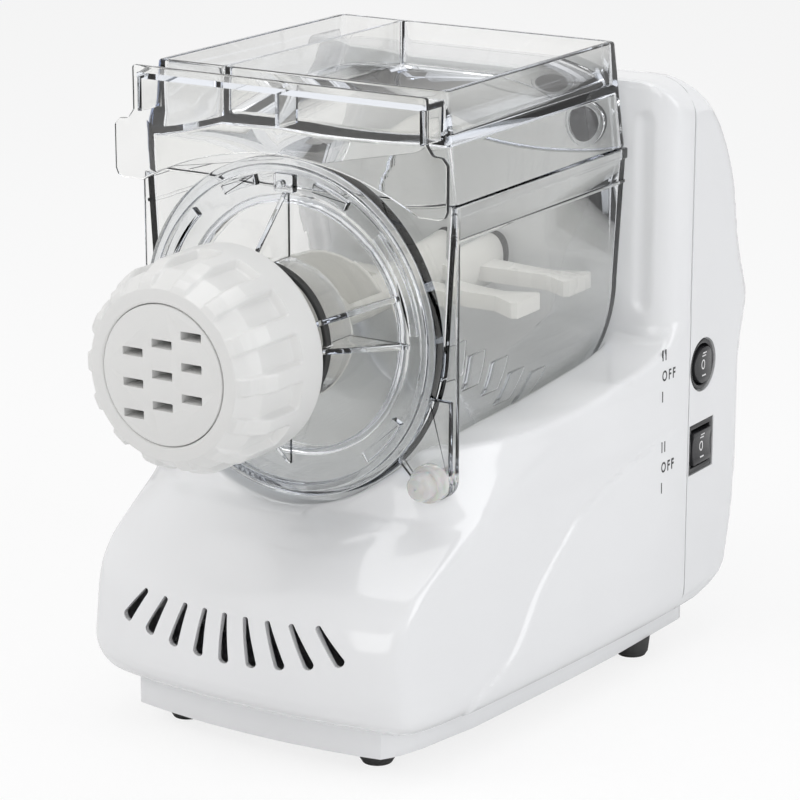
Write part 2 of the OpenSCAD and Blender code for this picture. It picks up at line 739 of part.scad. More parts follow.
// The rocker's face is hollowed by a wide arc, so both ends stand up
module rocker_profile(half) {
    difference() {
        translate([-0.5, -half]) square([rocker_top + 0.5, 2 * half]);
        translate([rocker_top + 3 * half - 0.8, 0]) circle(3 * half, $fn = 96);
    }
}
module rocker_solid(half, side) {
    translate([pivot_x, switch_y, 0]) rotate([90, 0, 0]) translate([0, 0, -side])
        linear_extrude(2 * side) rocker_profile(half);
}
module rocker_pivot(side) {
    rod(2, switch_y - side, switch_y + side, pivot_x, 0);
}
module round_rocker() {
    color(black) translate([0, 0, round_z]) {
        intersection() {
            rocker_solid(switch_r - 2.1, switch_r - 1.1);
            translate([pivot_x - 4, switch_y, 0]) rotate([0, 90, 0]) cylinder(r = switch_r - 1.8, h = 20);
        }
        rocker_pivot(switch_r - 1);
    }
}
module square_rocker() {
    color(black) translate([0, 0, square_z]) {
        rocker_solid(switch_half - 2.1, switch_half - 1);
        rocker_pivot(switch_half - 1);
    }
}

// ---- clear mouldings ----
module hopper_section(g) {
    r = hopper_r - g;
    intersection() {
        translate([0, axis_z]) circle(r, $fn = 128);
        translate([-r, axis_z - r]) square([2 * r, r]);
    }
    polygon([[-r, axis_z], [r, axis_z], [rim_half - g, rim_z + (g > 0 ? 1 : 0)],
        [-rim_half + g, rim_z + (g > 0 ? 1 : 0)]]);
}
ear_r = 8.5;
ear_t = 3.4;
panel_back = hopper_front + gap;
// Outline of the front flange: straight sides down to an ear on each side
module ears(top) {
    both_sides() {
        translate([knob_x, knob_z]) circle(ear_r);
        translate([knob_x, knob_z]) square([ear_r, top - knob_z]);
        polygon([[knob_x - ear_r * 0.75, knob_z - ear_r * 0.66], [knob_x, knob_z], [knob_x, top], [0, top],
            [0, axis_z - mouth_r], [knob_x - ear_r * 0.75 - 26, knob_z - ear_r * 0.66 + 30]]);
    }
}
// Slanted row of flat pads inside each wall: front end and height of the upper edge
pad_places = [[-67, 183], [-50, 175], [-29, 167.5], [-10, 158], [12, 153]];
pad_h = 15.5;
pad_out = 1.2;
module wall_pads() {
    for (k = pad_places) intersection() {
        difference() {
            rod(hopper_r - clear_wall + 0.5, k[0], min(k[0] + 14, hopper_back - 10), 0, axis_z, $fn = 128);
            rod(hopper_r - clear_wall - pad_out, k[0] - 1, k[0] + 15, 0, axis_z, $fn = 128);
        }
        both_sides() translate([core_r, k[0] - 1, k[1] - pad_h]) cube([hopper_r, 20, pad_h]);
    }
}
module hopper() {
    color(clear) difference() {
        union() {
            along_y(-hopper_front, hopper_back) hopper_section(0);
            along_y(-hopper_front, -hopper_front + 3) intersection() {
                union() {
                    ears(rim_z);
                    hopper_section(0);
                }
                translate([-rim_half - 1, 0]) square([2 * rim_half + 2, rim_z]);
            }
            // rim bead and the band that the lid's lower edge stands over
            both_sides() {
                translate([rim_half - 2, -hopper_front, rim_z - 5])
                    cube([2.8, hopper_front + hopper_back, 5]);
                translate([rim_half - 3.2, -hopper_front, rim_z - 16])
                    cube([3.2, hopper_front + hopper_back, 1.6]);
            }
        }
        along_y(-hopper_front + 3, hopper_back - clear_wall) hopper_section(clear_wall);
        rod(mouth_r, -hopper_front - 1, -hopper_front + 4, 0, axis_z, $fn = 128);
        rod(spindle_r + 1, 0, hopper_back + 1, 0, axis_z);
        both_sides() rod(stud_r + 0.4, -hopper_front - 1, -hopper_front + 4, knob_x, knob_z);
    }
    color(clear) wall_pads();
}

stud_r = 3;
rib_reach = 60;
rib_len = 30;
rib_angles = [-90, 0, 20, 90, 160, 180];
seal_t = 2.2;
seal_w = 4;
seal_front = panel_front + 17;
// Part of a flat ring, between two angles less than 90 degrees apart
module arc_bar(r0, r1, a0, a1, y0, y1) {
    intersection() {
        difference() {
            rod(r1, y0, y1, 0, axis_z, $fn = 128);
            rod(r0, y0 - 1, y1 + 1, 0, axis_z, $fn = 128);
        }
        along_y(y0 - 1, y1 + 1) translate([0, axis_z])
            polygon([[0, 0], for (a = [a0, (a0 + a1) / 2, a1]) [2 * r1 * cos(a), 2 * r1 * sin(a)]]);
    }
}
arc_r = 62;
arc_w = 4.6;
arc_h = 3.4;
arc_spans = [[5, 45], [61, 77], [-52, -30]];
module front_panel() {
    face = panel_front - 4;
    color(clear) difference() {
        union() {
            // rim: two raised steps round a recessed face
            translate([0, 0, axis_z]) rotate([90, 0, 0]) rotate_extrude($fn = 128) polygon([
                [tube_r - 1, face - 2.5], [mouth_r - 3, face - 2.5], [mouth_r - 3, panel_back - 5],
                [mouth_r - gap - 0.2, panel_back - 5], [mouth_r - gap - 0.2, panel_back],
                [panel_r, panel_back], [panel_r, panel_front - 2.5], [panel_r - 3, panel_front - 2.5],
                [panel_r - 3, panel_front], [panel_r - 6, panel_front],
                    [panel_r - 6, face], [tube_r - 1, face]]);
            rod(tube_r, -tube_end, -face + 2.5, 0, axis_z);
            both_sides() for (a = arc_spans)
                arc_bar(arc_r, arc_r + arc_w, a[0], a[1], -face - arc_h, -face + 0.5);
            // lug with a post at the top
            translate([-5, -face - arc_h, axis_z + arc_r - 3]) cube([10, arc_h + 0.5, 8]);
            rod(1.7, -face - arc_h - 3, -face, 0, axis_z + arc_r + 1);
            difference() {
                for (a = rib_angles) translate([0, 0, axis_z]) rotate([0, -a, 0]) translate([0, 0, -1.2])
                    linear_extrude(2.4) polygon([[tube_r - 0.5, -face + 0.5], [rib_reach, -face + 0.5],
                        [rib_reach, -face - 1], [tube_r - 0.5, -face - rib_len]]);
                rod(tube_r + seal_t + gap, -seal_front - gap, -seal_front + seal_w + gap, 0, axis_z);
            }
            along_y(-panel_back - ear_t, -panel_back) intersection() {
                ears(axis_z - 22);
                difference() {
                    translate([-rim_half, 0]) square([2 * rim_half, rim_z]);
                    translate([0, axis_z]) circle(panel_r - 3);
                }
            }
        }
        rod(bore_r, -tube_end - 1, -10, 0, axis_z);
        both_sides() rod(stud_r + running, -panel_back - 10, 0, knob_x, knob_z);
    }
}
module tube_seal_ring() {
    color(black) difference() {
        rod(tube_r + seal_t, -seal_front, -seal_front + seal_w, 0, axis_z);
        rod(tube_r, -seal_front - 1, -seal_front + seal_w + 1, 0, axis_z);
    }
}
module thumb_screw() {
    y = -panel_back - ear_t - 0.05;
    color([0.95, 0.95, 0.93, 0.9]) {
        rod(stud_r, y - 2, -hopper_front + 8, 0, 0);
        rod(knob_r, y - 7, y, 0, 0);
        rod(knob_r - 2.2, y - 13, y - 7 + eps, 0, 0);
        translate([0, y - 13 + eps, 0]) rotate([90, 0, 0])
            cylinder(r1 = knob_r - 2.2, r2 = knob_r - 4, h = 2);
    }
}
module left_thumb_screw() {
    translate([-knob_x, 0, knob_z]) thumb_screw();
}
module right_thumb_screw() {
    translate([knob_x, 0, knob_z]) thumb_screw();
}

thread_gap = 0.07;
die_flange_r = tube_r - 0.2;
lip_y = ring_front - 3.2;
module die() {
    color(white) difference() {
        union() {
            rod(die_flange_r, -lip_y + gap, -tube_end - gap, 0, axis_z);
            rod(die_r, -ring_front, -lip_y + gap + eps, 0, axis_z);
        }
        for (row = [-1:1]) for (side = [-1:1]) translate([side * (slot_w + 4.5) - slot_w / 2,
            -ring_front - 1, axis_z + row * 13 - slot_h / 2 + (side == 0 ? 0 : 5 * side)])
            cube([slot_w, 40, slot_h]);
    }
}
module retaining_ring() {
    lug_y = ring_back + 15;
    pocket_w = 9.2;
    floor_r = ring_r - 3.4;
    color(white) translate([0, 0, axis_z]) difference() {
        rotate([90, 0, 0]) rotate_extrude($fn = 128) polygon([
            [tube_r + thread_gap, ring_back + 2], [tube_r + 4, ring_back + 2], [tube_r + 4, lip_y - 4],
            [ring_r - 5, lip_y - 8], [ring_r - 4, ring_back], [ring_r, ring_back],
            [ring_r, lug_y + 18], [ring_r - 2, lug_y + 24], [ring_r - 3.6, ring_front - 8],
            [ring_r - 4.6, ring_front - 4], [ring_r - 6.8, ring_front - 1.2], [ring_r - 9.5, ring_front],
            [die_r + gap, ring_front], [die_r + gap, lip_y], [tube_r + thread_gap, lip_y]]);
        // pockets between the lugs, running out over the front shoulder
        for (i = [0:lug_count - 1]) rotate([0, (i + 0.5) * 360 / lug_count, 0])
            translate([0, 0, -pocket_w / 2]) linear_extrude(pocket_w) polygon([[floor_r, -lug_y],
                [floor_r, -lug_y - 25.5], [floor_r - 4, -ring_front - 1], [ring_r + 8, -ring_front - 1],
                [ring_r + 8, -lug_y]]);
    }
}

magnet_r = 0.16 * lid_h;
magnet_z = lid_z + 0.25 * lid_h;
module lid_block(g, z0, z1) {
    t0 = (z0 - lid_z) / (lid_top - lid_z);
    t1 = (z1 - lid_z) / (lid_top - lid_z);
    wide = [rim_half + (lid_half - rim_half) * t0, rim_half + (lid_half - rim_half) * t1];
    front = hopper_front - 0.5 - 1.5 * t0;
    hull() for (k = [[z0, wide[0] - g], [z1, wide[1] - g]]) translate([-k[1], -front + g, k[0]])
        cube([2 * k[1], front + hopper_back - 2 * g, eps]);
}
module lid() {
    tray = lid_top - tray_share * lid_h;
    bar = skirt_front - 2.5;
    ledge = lid_z + 0.43 * lid_h;
    step = 0.06 * lid_h;
    beyond = rim_half + 10;
    color(clear) {
        difference() {
            lid_block(0, lid_z, lid_top);
            difference() {
                lid_block(clear_wall, lid_z - 1, lid_top + 1);
                // tray floor, falling towards the pouring slot, and the wall between the two
                along_y(-beyond, beyond) polygon([[beyond, tray - clear_wall], [beyond, tray],
                    [-divider_x, tray],
                    [-divider_x, lid_top - 3], [-divider_x - clear_wall, lid_top - 3],
                        [-divider_x - clear_wall, tray],
                    [-beyond, tray - pour_fall * 1.5], [-beyond, tray - pour_fall * 1.5 - clear_wall],
                    [-divider_x - clear_wall, tray - clear_wall]]);
            }
            translate([-lid_half + 8, -hopper_front + 14, tray - pour_fall - 8])
                cube([pour_slot_w, hopper_front + hopper_back - 28, pour_fall + 10]);
        }
        // cup that holds the magnet against the rear wall
        difference() {
            rod(magnet_r + 2.5, hopper_back - clear_wall - 4, hopper_back - 1, magnet_x, magnet_z);
            rod(magnet_r, hopper_back - clear_wall - 5, hopper_back - clear_wall, magnet_x, magnet_z);
        }
        // skirt in front, on a ledge and ribs
        difference() {
            along_y(-skirt_front, -bar) difference() {
                union() {
                    translate([-lid_half - 1, ledge - step])
                        square([2 * lid_half + 2, lid_top - ledge + step]);
                    both_sides() polygon([[0, lid_z - 3], [skirt_half - 4, lid_z - 3],
                        [skirt_half - 1.2, lid_z - 1.8],
                        [skirt_half, lid_z + 1], [skirt_half, ledge], [skirt_half - 2.4, ledge + step],
                        [lid_half + 4, ledge + step + 0.4], [lid_half + 1, ledge + 2.6 * step],
                            [0, ledge + 2.6 * step]]);
                }
                translate([0, axis_z + arch_rise - 141]) circle(141, $fn = 180);
            }
        }
        translate([-lid_half + 0.5, -bar - eps, lid_top - 6])
            cube([2 * lid_half - 1, bar - hopper_front + 3, 2.5]);
        for (x = [-lid_half + 0.8, -1, lid_half - 3]) translate([x, -bar - eps, tray])
            cube([2.2, bar - hopper_front + 3, lid_top - 5 - tray]);
    }
}
module lid_magnet() {
    color(black) rod(magnet_r, hopper_back - clear_wall - 3, hopper_back - clear_wall, magnet_x, magnet_z);
}

// ---- kneading screw ----
screw_back = hopper_back - clear_wall - 1.5;
flight_back = -36;
module arm(y, angle) {
    translate([0, y, axis_z]) rotate([0, angle, 0]) {
        translate([0, 0, -3.5]) linear_extrude(7)
            polygon([[4, -9], [arm_reach - 14, -5], [arm_reach - 2, -12],
            [arm_reach, -10], [arm_reach, 10], [arm_reach - 2, 12], [arm_reach - 14, 5], [4, 9]]);
    }
}
module kneading_screw() {
    color([0.95, 0.95, 0.93]) difference() {
        union() {
            rod(core_r + 4, flight_back + 60, screw_back, 0, axis_z);
            rod(core_r, -tube_end + 3, flight_back + 61, 0, axis_z);
            translate([0, flight_back, axis_z]) rotate([90, 0, 0]) flight(tube_end - 3 + flight_back);
            arm(56, 0);
            arm(34, 180);
            arm(10, 0);
            arm(-14, 180);
        }
        translate([0, screw_back + 1, axis_z]) rotate([90, 0, 0])
            cylinder(r = (hex_af / 2 + gap) / cos(30), h = screw_back - hex_front + 4, $fn = 6);
        rod(spindle_r + gap, hopper_back - clear_wall - 4, hopper_back, 0, axis_z);
    }
}
module flight(length) {
    r = bore_r - flight_gap;
    linear_extrude(length, twist = -360 * length / flight_pitch, slices = 60, $fn = 5)
        translate([0, -flight_t / 2]) polygon([[0, 0], [r * 0.985, 0], [r, flight_t / 2],
            [r * 0.985, flight_t], [0, flight_t]]);
}

main_housing();
rear_cover();
base_plate();
rubber_feet();
base_screws();
cover_screws();
cord_gland();
gearbox_plate();
gearbox_back_plate();
gearbox_posts();
gearbox_bushes();
shaft_seal();
motor_stator();
motor_end_bells();
run_capacitor();
reed_switch();
round_switch_case();
square_switch_case();
round_rocker();
square_rocker();
motor_rotor();
motor_pinion();
cooling_fan();
lay_shaft();
lay_gear();
lay_pinion();
drive_spindle();
output_gear();
hopper();
kneading_screw();
lid();
lid_magnet();
front_panel();
tube_seal_ring();
die();
retaining_ring();
left_thumb_screw();
right_thumb_screw();
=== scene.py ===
# Electric pasta maker: finish, clear mouldings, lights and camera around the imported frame.
# Lengths inside the shape functions are millimetres; a mesh is scaled to metres when it is made.
import math

import bmesh
import bpy
import numpy as np
from mathutils import Matrix, Vector


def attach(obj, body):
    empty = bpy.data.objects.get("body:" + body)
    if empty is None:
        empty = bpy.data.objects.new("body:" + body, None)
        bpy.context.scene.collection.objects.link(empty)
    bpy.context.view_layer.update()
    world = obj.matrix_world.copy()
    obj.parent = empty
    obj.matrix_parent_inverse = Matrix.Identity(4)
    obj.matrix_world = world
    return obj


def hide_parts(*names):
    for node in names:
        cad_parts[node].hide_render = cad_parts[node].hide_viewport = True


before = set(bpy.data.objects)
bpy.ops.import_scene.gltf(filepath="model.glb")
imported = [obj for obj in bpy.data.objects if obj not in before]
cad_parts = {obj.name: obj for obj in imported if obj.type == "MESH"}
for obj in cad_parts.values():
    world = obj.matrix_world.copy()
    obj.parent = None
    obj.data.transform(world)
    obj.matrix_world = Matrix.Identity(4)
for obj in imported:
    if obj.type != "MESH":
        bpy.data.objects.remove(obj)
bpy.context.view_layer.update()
scene = bpy.context.scene
mm = 0.001

print("stage: camera, floor and lights")

cameraView = {"azimuth": 32.2, "elevation": 16, "lens": 144, "target": (0.0035, 0.007, 0.1314), "distance": 1.436}


def placed(name, data):
    thing = bpy.data.objects.new(name, data)
    scene.collection.objects.link(thing)
    return thing


def makeCamera(view):
    az, el = math.radians(view["azimuth"]), math.radians(view["elevation"])
    back = Vector((math.sin(az) * math.cos(el), -math.cos(az) * math.cos(el), math.sin(el)))
    data = bpy.data.cameras.new("camera")
    data.lens = view["lens"]
    data.sensor_width = 36
    camera = placed("camera", data)
    camera.location = Vector(view["target"]) + back * view["distance"]
    camera.rotation_euler = back.to_track_quat("Z", "Y").to_euler()
    scene.camera = camera


makeCamera(cameraView)
scene.view_settings.view_transform = "Standard"

# place, what it looks at, size across and down, watts, colour, and whether shiny faces mirror it
softBoxes = {
    "keyLeft": {"at": (-1.1, -1.2, 1.5), "to": (0, 0, 0.15), "size": (1.1, 0.9), "power": 11, "tint": (1, 0.99, 0.97),
                "mirrored": False},
    "topBank": {"at": (0.1, -0.1, 1.7), "to": (0, 0, 0.2), "size": (1.3, 1.0), "power": 7.5, "tint": (1, 1, 1)},
    "sideRight": {"at": (1.6, 0.1, 0.7), "to": (0, 0, 0.15), "size": (0.8, 1.3), "power": 8.2, "tint": (0.98, 0.99, 1)},
    "frontFill": {"at": (0.5, -1.7, 0.35), "to": (0, 0, 0.12), "size": (0.9, 0.7), "power": 3.6, "tint": (1, 1, 1)},
}


def makeSoftBox(name, box):
    data = bpy.data.lights.new(name, "AREA")
    data.shape = "RECTANGLE"
    data.size, data.size_y = box["size"]
    data.energy = box["power"]
    data.color = box["tint"]
    lamp = placed(name, data)
    lamp.visible_glossy = box.get("mirrored", True)
    lamp.location = box["at"]
    lamp.rotation_euler = (Vector(box["at"]) - Vector(box["to"])).to_track_quat("Z", "Y").to_euler()


for boxName, boxSetup in softBoxes.items():
    makeSoftBox(boxName, boxSetup)


def addNode(tree, kind, feeds=None, **settings):
    # feeds are the node's inputs, each a value or another node's output
    node = tree.nodes.new(kind)
    for key, value in settings.items():
        setattr(node, key, value)
    for key, value in (feeds or {}).items():
        if isinstance(value, bpy.types.NodeSocket):
            tree.links.new(value, node.inputs[key])
        else:
            node.inputs[key].default_value = value
    return node


def maths(tree, operation, *values):
    return addNode(tree, "ShaderNodeMath", dict(enumerate(values)), operation=operation).outputs[0]


def anyRay(tree, *names):
    # 1 for the kinds of ray that are named
    rays = addNode(tree, "ShaderNodeLightPath").outputs
    seen = rays[names[0]]
    for name in names[1:]:
        seen = maths(tree, "MAXIMUM", seen, rays[name])
    return seen


def mixShaders(tree, share, first, second, out):
    mix = addNode(tree, "ShaderNodeMixShader", {0: share, 1: first.outputs[0], 2: second.outputs[0]})
    tree.links.new(mix.outputs[0], out.inputs["Surface"])


backdrop = {"lowTone": (0.62, 0.62, 0.63, 1), "highTone": (0.8, 0.8, 0.81, 1), "highAt": 0.6, "strength": 0.6,
            "white": (1, 1, 1, 1), "floorTone": (0.95, 0.95, 0.95, 1), "floorGlow": 0.8, "floorReach": 6.0}


def makeWorld():
    world = bpy.data.worlds.new("studio")
    world.use_nodes = True
    scene.world = world
    tree = world.node_tree
    tree.nodes.clear()
    coords = addNode(tree, "ShaderNodeTexCoord")
    split = addNode(tree, "ShaderNodeSeparateXYZ", {0: coords.outputs["Generated"]})
    ramp = addNode(tree, "ShaderNodeValToRGB", {0: split.outputs["Z"]})
    low, high = ramp.color_ramp.elements
    low.color, high.color, high.position = backdrop["lowTone"], backdrop["highTone"], backdrop["highAt"]
    soft = addNode(tree, "ShaderNodeBackground", {"Color": ramp.outputs[0], "Strength": backdrop["strength"]})
    white = addNode(tree, "ShaderNodeBackground", {"Color": backdrop["white"], "Strength": 1})
    seen = anyRay(tree, "Is Camera Ray", "Is Transmission Ray", "Is Glossy Ray")
    mixShaders(tree, seen, soft, white, addNode(tree, "ShaderNodeOutputWorld"))


makeWorld()


def makeFloor():
    mesh = bpy.data.meshes.new("floor")
    side = backdrop["floorReach"]
    mesh.from_pydata([(-side, -side, 0), (side, -side, 0), (side, side, 0), (-side, side, 0)], [], [(0, 1, 2, 3)])
    pale = bpy.data.materials.new("paleFloor")
    pale.use_nodes = True
    tree = pale.node_tree
    tree.nodes.clear()
    matt = addNode(tree, "ShaderNodeBsdfDiffuse", {"Color": backdrop["floorTone"]})
    glow = addNode(tree, "ShaderNodeEmission", {"Color": backdrop["white"], "Strength": 1})
    share = maths(tree, "MULTIPLY", anyRay(tree, "Is Camera Ray", "Is Transmission Ray"), backdrop["floorGlow"])
    mixShaders(tree, share, matt, glow, addNode(tree, "ShaderNodeOutputMaterial"))
    mesh.materials.append(pale)
    placed("floor", mesh)


makeFloor()

# light passes many clear walls, one behind another
scene.cycles.max_bounces = 28
scene.cycles.transmission_bounces = 28
scene.cycles.transparent_max_bounces = 24

print("stage: materials")


def newTree(name, kind, inputs, outputs):
    # sockets are given as label, type and, where it has one, preset
    tree = bpy.data.node_groups.new(name, kind)
    for way, sockets in (("INPUT", inputs), ("OUTPUT", outputs)):
        for label, socketKind, *presets in sockets:
            socket = tree.interface.new_socket(label, in_out=way, socket_type="NodeSocket" + socketKind)
            for value in presets:
                socket.default_value = value
    return tree, addNode(tree, "NodeGroupInput").outputs, addNode(tree, "NodeGroupOutput").inputs


def makeMoldSkin():
    # faint orange peel of a moulded face, and the uneven gloss that goes with it
    group, given, result = newTree("moldSkin", "ShaderNodeTree", [("Scale", "Float", 260.0), ("Sink", "Float", 0.5)],
                                   [("Height", "Float"), ("Gloss", "Float")])
    place = addNode(group, "ShaderNodeTexCoord").outputs["Object"]
    fine = addNode(group, "ShaderNodeTexNoise",
                   {"Vector": place, "Scale": given["Scale"], "Detail": 3.0, "Roughness": 0.5}).outputs["Fac"]
    wide = addNode(group, "ShaderNodeTexNoise",
                   {"Vector": place, "Scale": 11.0, "Detail": 2.0, "Roughness": 0.45}).outputs["Fac"]
    height = maths(group, "ADD", fine, maths(group, "MULTIPLY", wide, given["Sink"]))
    group.links.new(height, result["Height"])
    group.links.new(wide, result["Gloss"])
    return group


def makeHandling():
    # thin smudges and dust specks where the piece is touched
    group, given, result = newTree("handling", "ShaderNodeTree", [("Scale", "Float", 35.0), ("Amount", "Float", 0.5)],
                                   [("Smudge", "Float"), ("Dust", "Float")])
    place = addNode(group, "ShaderNodeTexCoord").outputs["Object"]
    smear = addNode(group, "ShaderNodeTexNoise", {"Vector": place, "Scale": given["Scale"], "Detail": 5.0,
                                                  "Roughness": 0.6, "Distortion": 0.8}).outputs["Fac"]
    specks = addNode(group, "ShaderNodeTexVoronoi", {"Vector": place, "Scale": 420.0}).outputs["Distance"]
    for label, mask, none, full in (("Smudge", smear, 0.52, 0.75), ("Dust", specks, 0.05, 0.02)):
        share = addNode(group, "ShaderNodeMapRange", {"Value": mask, "From Min": none, "From Max": full,
                                                      "To Max": given["Amount"]})
        group.links.new(share.outputs["Result"], result[label])
    return group


moldSkin = makeMoldSkin()
handling = makeHandling()

# two tones, least and most roughness, bump in metres, scale of the peel, smudges, and plain shader settings
finishes = {
    "glossyWhite": {"color": (0.82, 0.825, 0.835), "shade": (0.79, 0.795, 0.805), "rough": (0.1, 0.2), "bump": 0.00002,
                    "scale": 240, "smudge": 0.25, "Coat Weight": 0.25, "Coat Roughness": 0.06},
    "satinWhite": {"color": (0.75, 0.75, 0.74), "shade": (0.7, 0.7, 0.69), "rough": (0.3, 0.42), "bump": 0.00003,
                   "scale": 420, "smudge": 0.3},
    "screwWhite": {"color": (0.8, 0.79, 0.76), "shade": (0.74, 0.73, 0.69), "rough": (0.25, 0.38), "bump": 0.00003,
                   "scale": 380, "smudge": 0.4},
    "milkyKnob": {"color": (0.88, 0.88, 0.86), "shade": (0.8, 0.8, 0.78), "rough": (0.12, 0.24), "bump": 0.00003,
                  "scale": 500, "smudge": 0.2, "Transmission Weight": 0.55, "IOR": 1.49,
                  "Subsurface Weight": 0.4, "Subsurface Scale": 0.004},
    "clearPlastic": {"color": (0.985, 0.98, 0.965), "shade": (0.955, 0.95, 0.93), "rough": (0.005, 0.03),
                     "bump": 0.000004, "scale": 60, "smudge": 0.12, "depthTint": ((0.66, 0.74, 0.9), 22.0),
                     "Transmission Weight": 1.0, "IOR": 1.5},
    "glossBlack": {"color": (0.018, 0.018, 0.02), "shade": (0.028, 0.028, 0.03), "rough": (0.18, 0.34), "bump": 0.00003,
                   "scale": 700, "smudge": 0.5},
    "markWhite": {"color": (0.85, 0.85, 0.85), "shade": (0.7, 0.7, 0.7), "rough": (0.4, 0.5), "bump": 0.00001,
                  "scale": 900, "smudge": 0.2},
    "legendInk": {"color": (0.02, 0.02, 0.022), "shade": (0.035, 0.035, 0.037), "rough": (0.35, 0.5), "bump": 0.00001,
                  "scale": 1200, "smudge": 0.2},
    "softBlack": {"color": (0.022, 0.022, 0.022), "shade": (0.05, 0.05, 0.048), "rough": (0.6, 0.85), "bump": 0.00006,
                  "scale": 900, "smudge": 0.8},
    "groundSteel": {"color": (0.58, 0.59, 0.6), "shade": (0.5, 0.51, 0.52), "rough": (0.22, 0.38), "bump": 0.00002,
                    "scale": 1100, "smudge": 0.5, "Metallic": 1.0},
    "bearingBronze": {"color": (0.62, 0.42, 0.2), "shade": (0.5, 0.33, 0.15), "rough": (0.35, 0.5), "bump": 0.00004,
                      "scale": 1500, "smudge": 0.5, "Metallic": 1.0},
    "motorIron": {"color": (0.2, 0.2, 0.21), "shade": (0.13, 0.13, 0.14), "rough": (0.35, 0.55), "bump": 0.00005,
                  "scale": 900, "smudge": 0.6, "Metallic": 0.8},
    "castAlloy": {"color": (0.6, 0.6, 0.61), "shade": (0.5, 0.5, 0.51), "rough": (0.4, 0.6), "bump": 0.00008,
                  "scale": 700, "smudge": 0.6, "Metallic": 1.0},
    "gearNylon": {"color": (0.8, 0.77, 0.68), "shade": (0.72, 0.68, 0.58), "rough": (0.35, 0.5), "bump": 0.00003,
                  "scale": 600, "smudge": 0.5, "Subsurface Weight": 0.2, "Subsurface Scale": 0.003},
}
plainKeys = ("color", "shade", "rough", "bump", "scale", "smudge", "depthTint")


def makeFinish(name, finish):
    finished = bpy.data.materials.new(name)
    finished.use_nodes = True
    tree = finished.node_tree
    shader, out = tree.nodes["Principled BSDF"], tree.nodes["Material Output"]
    peel = addNode(tree, "ShaderNodeGroup", {"Scale": finish["scale"]}, node_tree=moldSkin).outputs
    touch = addNode(tree, "ShaderNodeGroup", {"Amount": finish["smudge"]}, node_tree=handling).outputs
    uneven = addNode(tree, "ShaderNodeMapRange", {"Value": peel["Gloss"], "From Min": 0.35, "From Max": 0.7})
    shaded = maths(tree, "MAXIMUM", uneven.outputs["Result"], touch["Dust"])
    tone = addNode(tree, "ShaderNodeMix", {"Factor": shaded, "A": (*finish["color"], 1), "B": (*finish["shade"], 1)},
                   data_type="RGBA")
    smooth, rough = finish["rough"]
    gloss = addNode(tree, "ShaderNodeMapRange", {"Value": touch["Smudge"], "To Min": smooth, "To Max": rough})
    bump = addNode(tree, "ShaderNodeBump", {"Height": peel["Height"], "Strength": 1.0, "Distance": finish["bump"]})
    for socket, source in (("Base Color", tone.outputs["Result"]), ("Roughness", gloss.outputs["Result"]),
                           ("Normal", bump.outputs["Normal"])):
        tree.links.new(source, shader.inputs[socket])
    for key, value in finish.items():
        if key not in plainKeys:
            shader.inputs[key].default_value = value
    if finish.get("Transmission Weight") == 1.0:
        # lamps and bounced light reach what stands behind the clear walls
        passing = addNode(tree, "ShaderNodeBsdfTransparent", {"Color": (0.93, 0.93, 0.92, 1)})
        mixShaders(tree, anyRay(tree, "Is Shadow Ray", "Is Diffuse Ray"), shader, passing, out)
    if "depthTint" in finish:
        tint, density = finish["depthTint"]
        depth = addNode(tree, "ShaderNodeVolumeAbsorption", {"Color": (*tint, 1), "Density": density})
        tree.links.new(depth.outputs[0], out.inputs["Volume"])
    return finished


material = {name: makeFinish(name, finish) for name, finish in finishes.items()}

# the solids that keep their own shape or stand under a piece, by finish
nodesOf = {
    "glossyWhite": "main_housing rear_cover base_plate", "clearPlastic": "hopper lid front_panel",
    "satinWhite": "die retaining_ring", "milkyKnob": "left_thumb_screw right_thumb_screw",
    "screwWhite": "kneading_screw", "softBlack": "rubber_feet cord_gland shaft_seal tube_seal_ring",
    "glossBlack": "round_switch_case square_switch_case round_rocker square_rocker reed_switch cooling_fan lid_magnet",
    "groundSteel": "base_screws cover_screws gearbox_plate gearbox_back_plate gearbox_posts motor_pinion lay_shaft "
                   "lay_pinion drive_spindle",
    "bearingBronze": "gearbox_bushes", "gearNylon": "lay_gear output_gear", "motorIron": "motor_stator motor_rotor",
    "castAlloy": "motor_end_bells run_capacitor",
}

for nodeFinish, nodeNames in nodesOf.items():
    for nodeName in nodeNames.split():
        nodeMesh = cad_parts[nodeName].data
        nodeMesh.materials.clear()
        nodeMesh.materials.append(material[nodeFinish])


def finishPiece(piece, finishName, body, nodes=()):
    piece.data.materials.clear()
    piece.data.materials.append(material[finishName])
    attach(piece, body)
    if nodes:
        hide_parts(*nodes)
    return piece


def newPiece(name, points, faces):
    mesh = bpy.data.meshes.new(name)
    mesh.from_pydata([tuple(mm * c for c in p) for p in points], [], [tuple(f) for f in faces])
    mesh.validate()
    return placed(name, mesh)


def bake(piece):
    # turns live modifiers into plain geometry
    graph = bpy.context.evaluated_depsgraph_get()
    graph.update()
    mesh = bpy.data.meshes.new_from_object(piece.evaluated_get(graph))
    piece.modifiers.clear()
    old = piece.data
    piece.data = mesh
    mesh.name = piece.name
    bpy.data.meshes.remove(old)
    return piece


def fanned(piece):
    # many-sided faces as triangles, because a hole in one can close again when it is drawn
    mesh = bmesh.new()
    mesh.from_mesh(piece.data)
    bmesh.ops.triangulate(mesh, faces=[f for f in mesh.faces if len(f.verts) > 4])
    mesh.to_mesh(piece.data)
    mesh.free()
    return piece


def cut(piece, tool, operation="DIFFERENCE", facets=True):
    if facets:
        fanned(piece)
        fanned(tool)
    change = piece.modifiers.new("cut", "BOOLEAN")
    change.operation = operation
    change.solver = "MANIFOLD"
    change.object = tool
    bake(piece)
    bpy.data.objects.remove(tool)
    return piece


def smoothByAngle(piece, degrees=35):
    piece.data.polygons.foreach_set("use_smooth", [True] * len(piece.data.polygons))
    piece.data.set_sharp_from_angle(angle=math.radians(degrees))
    return piece


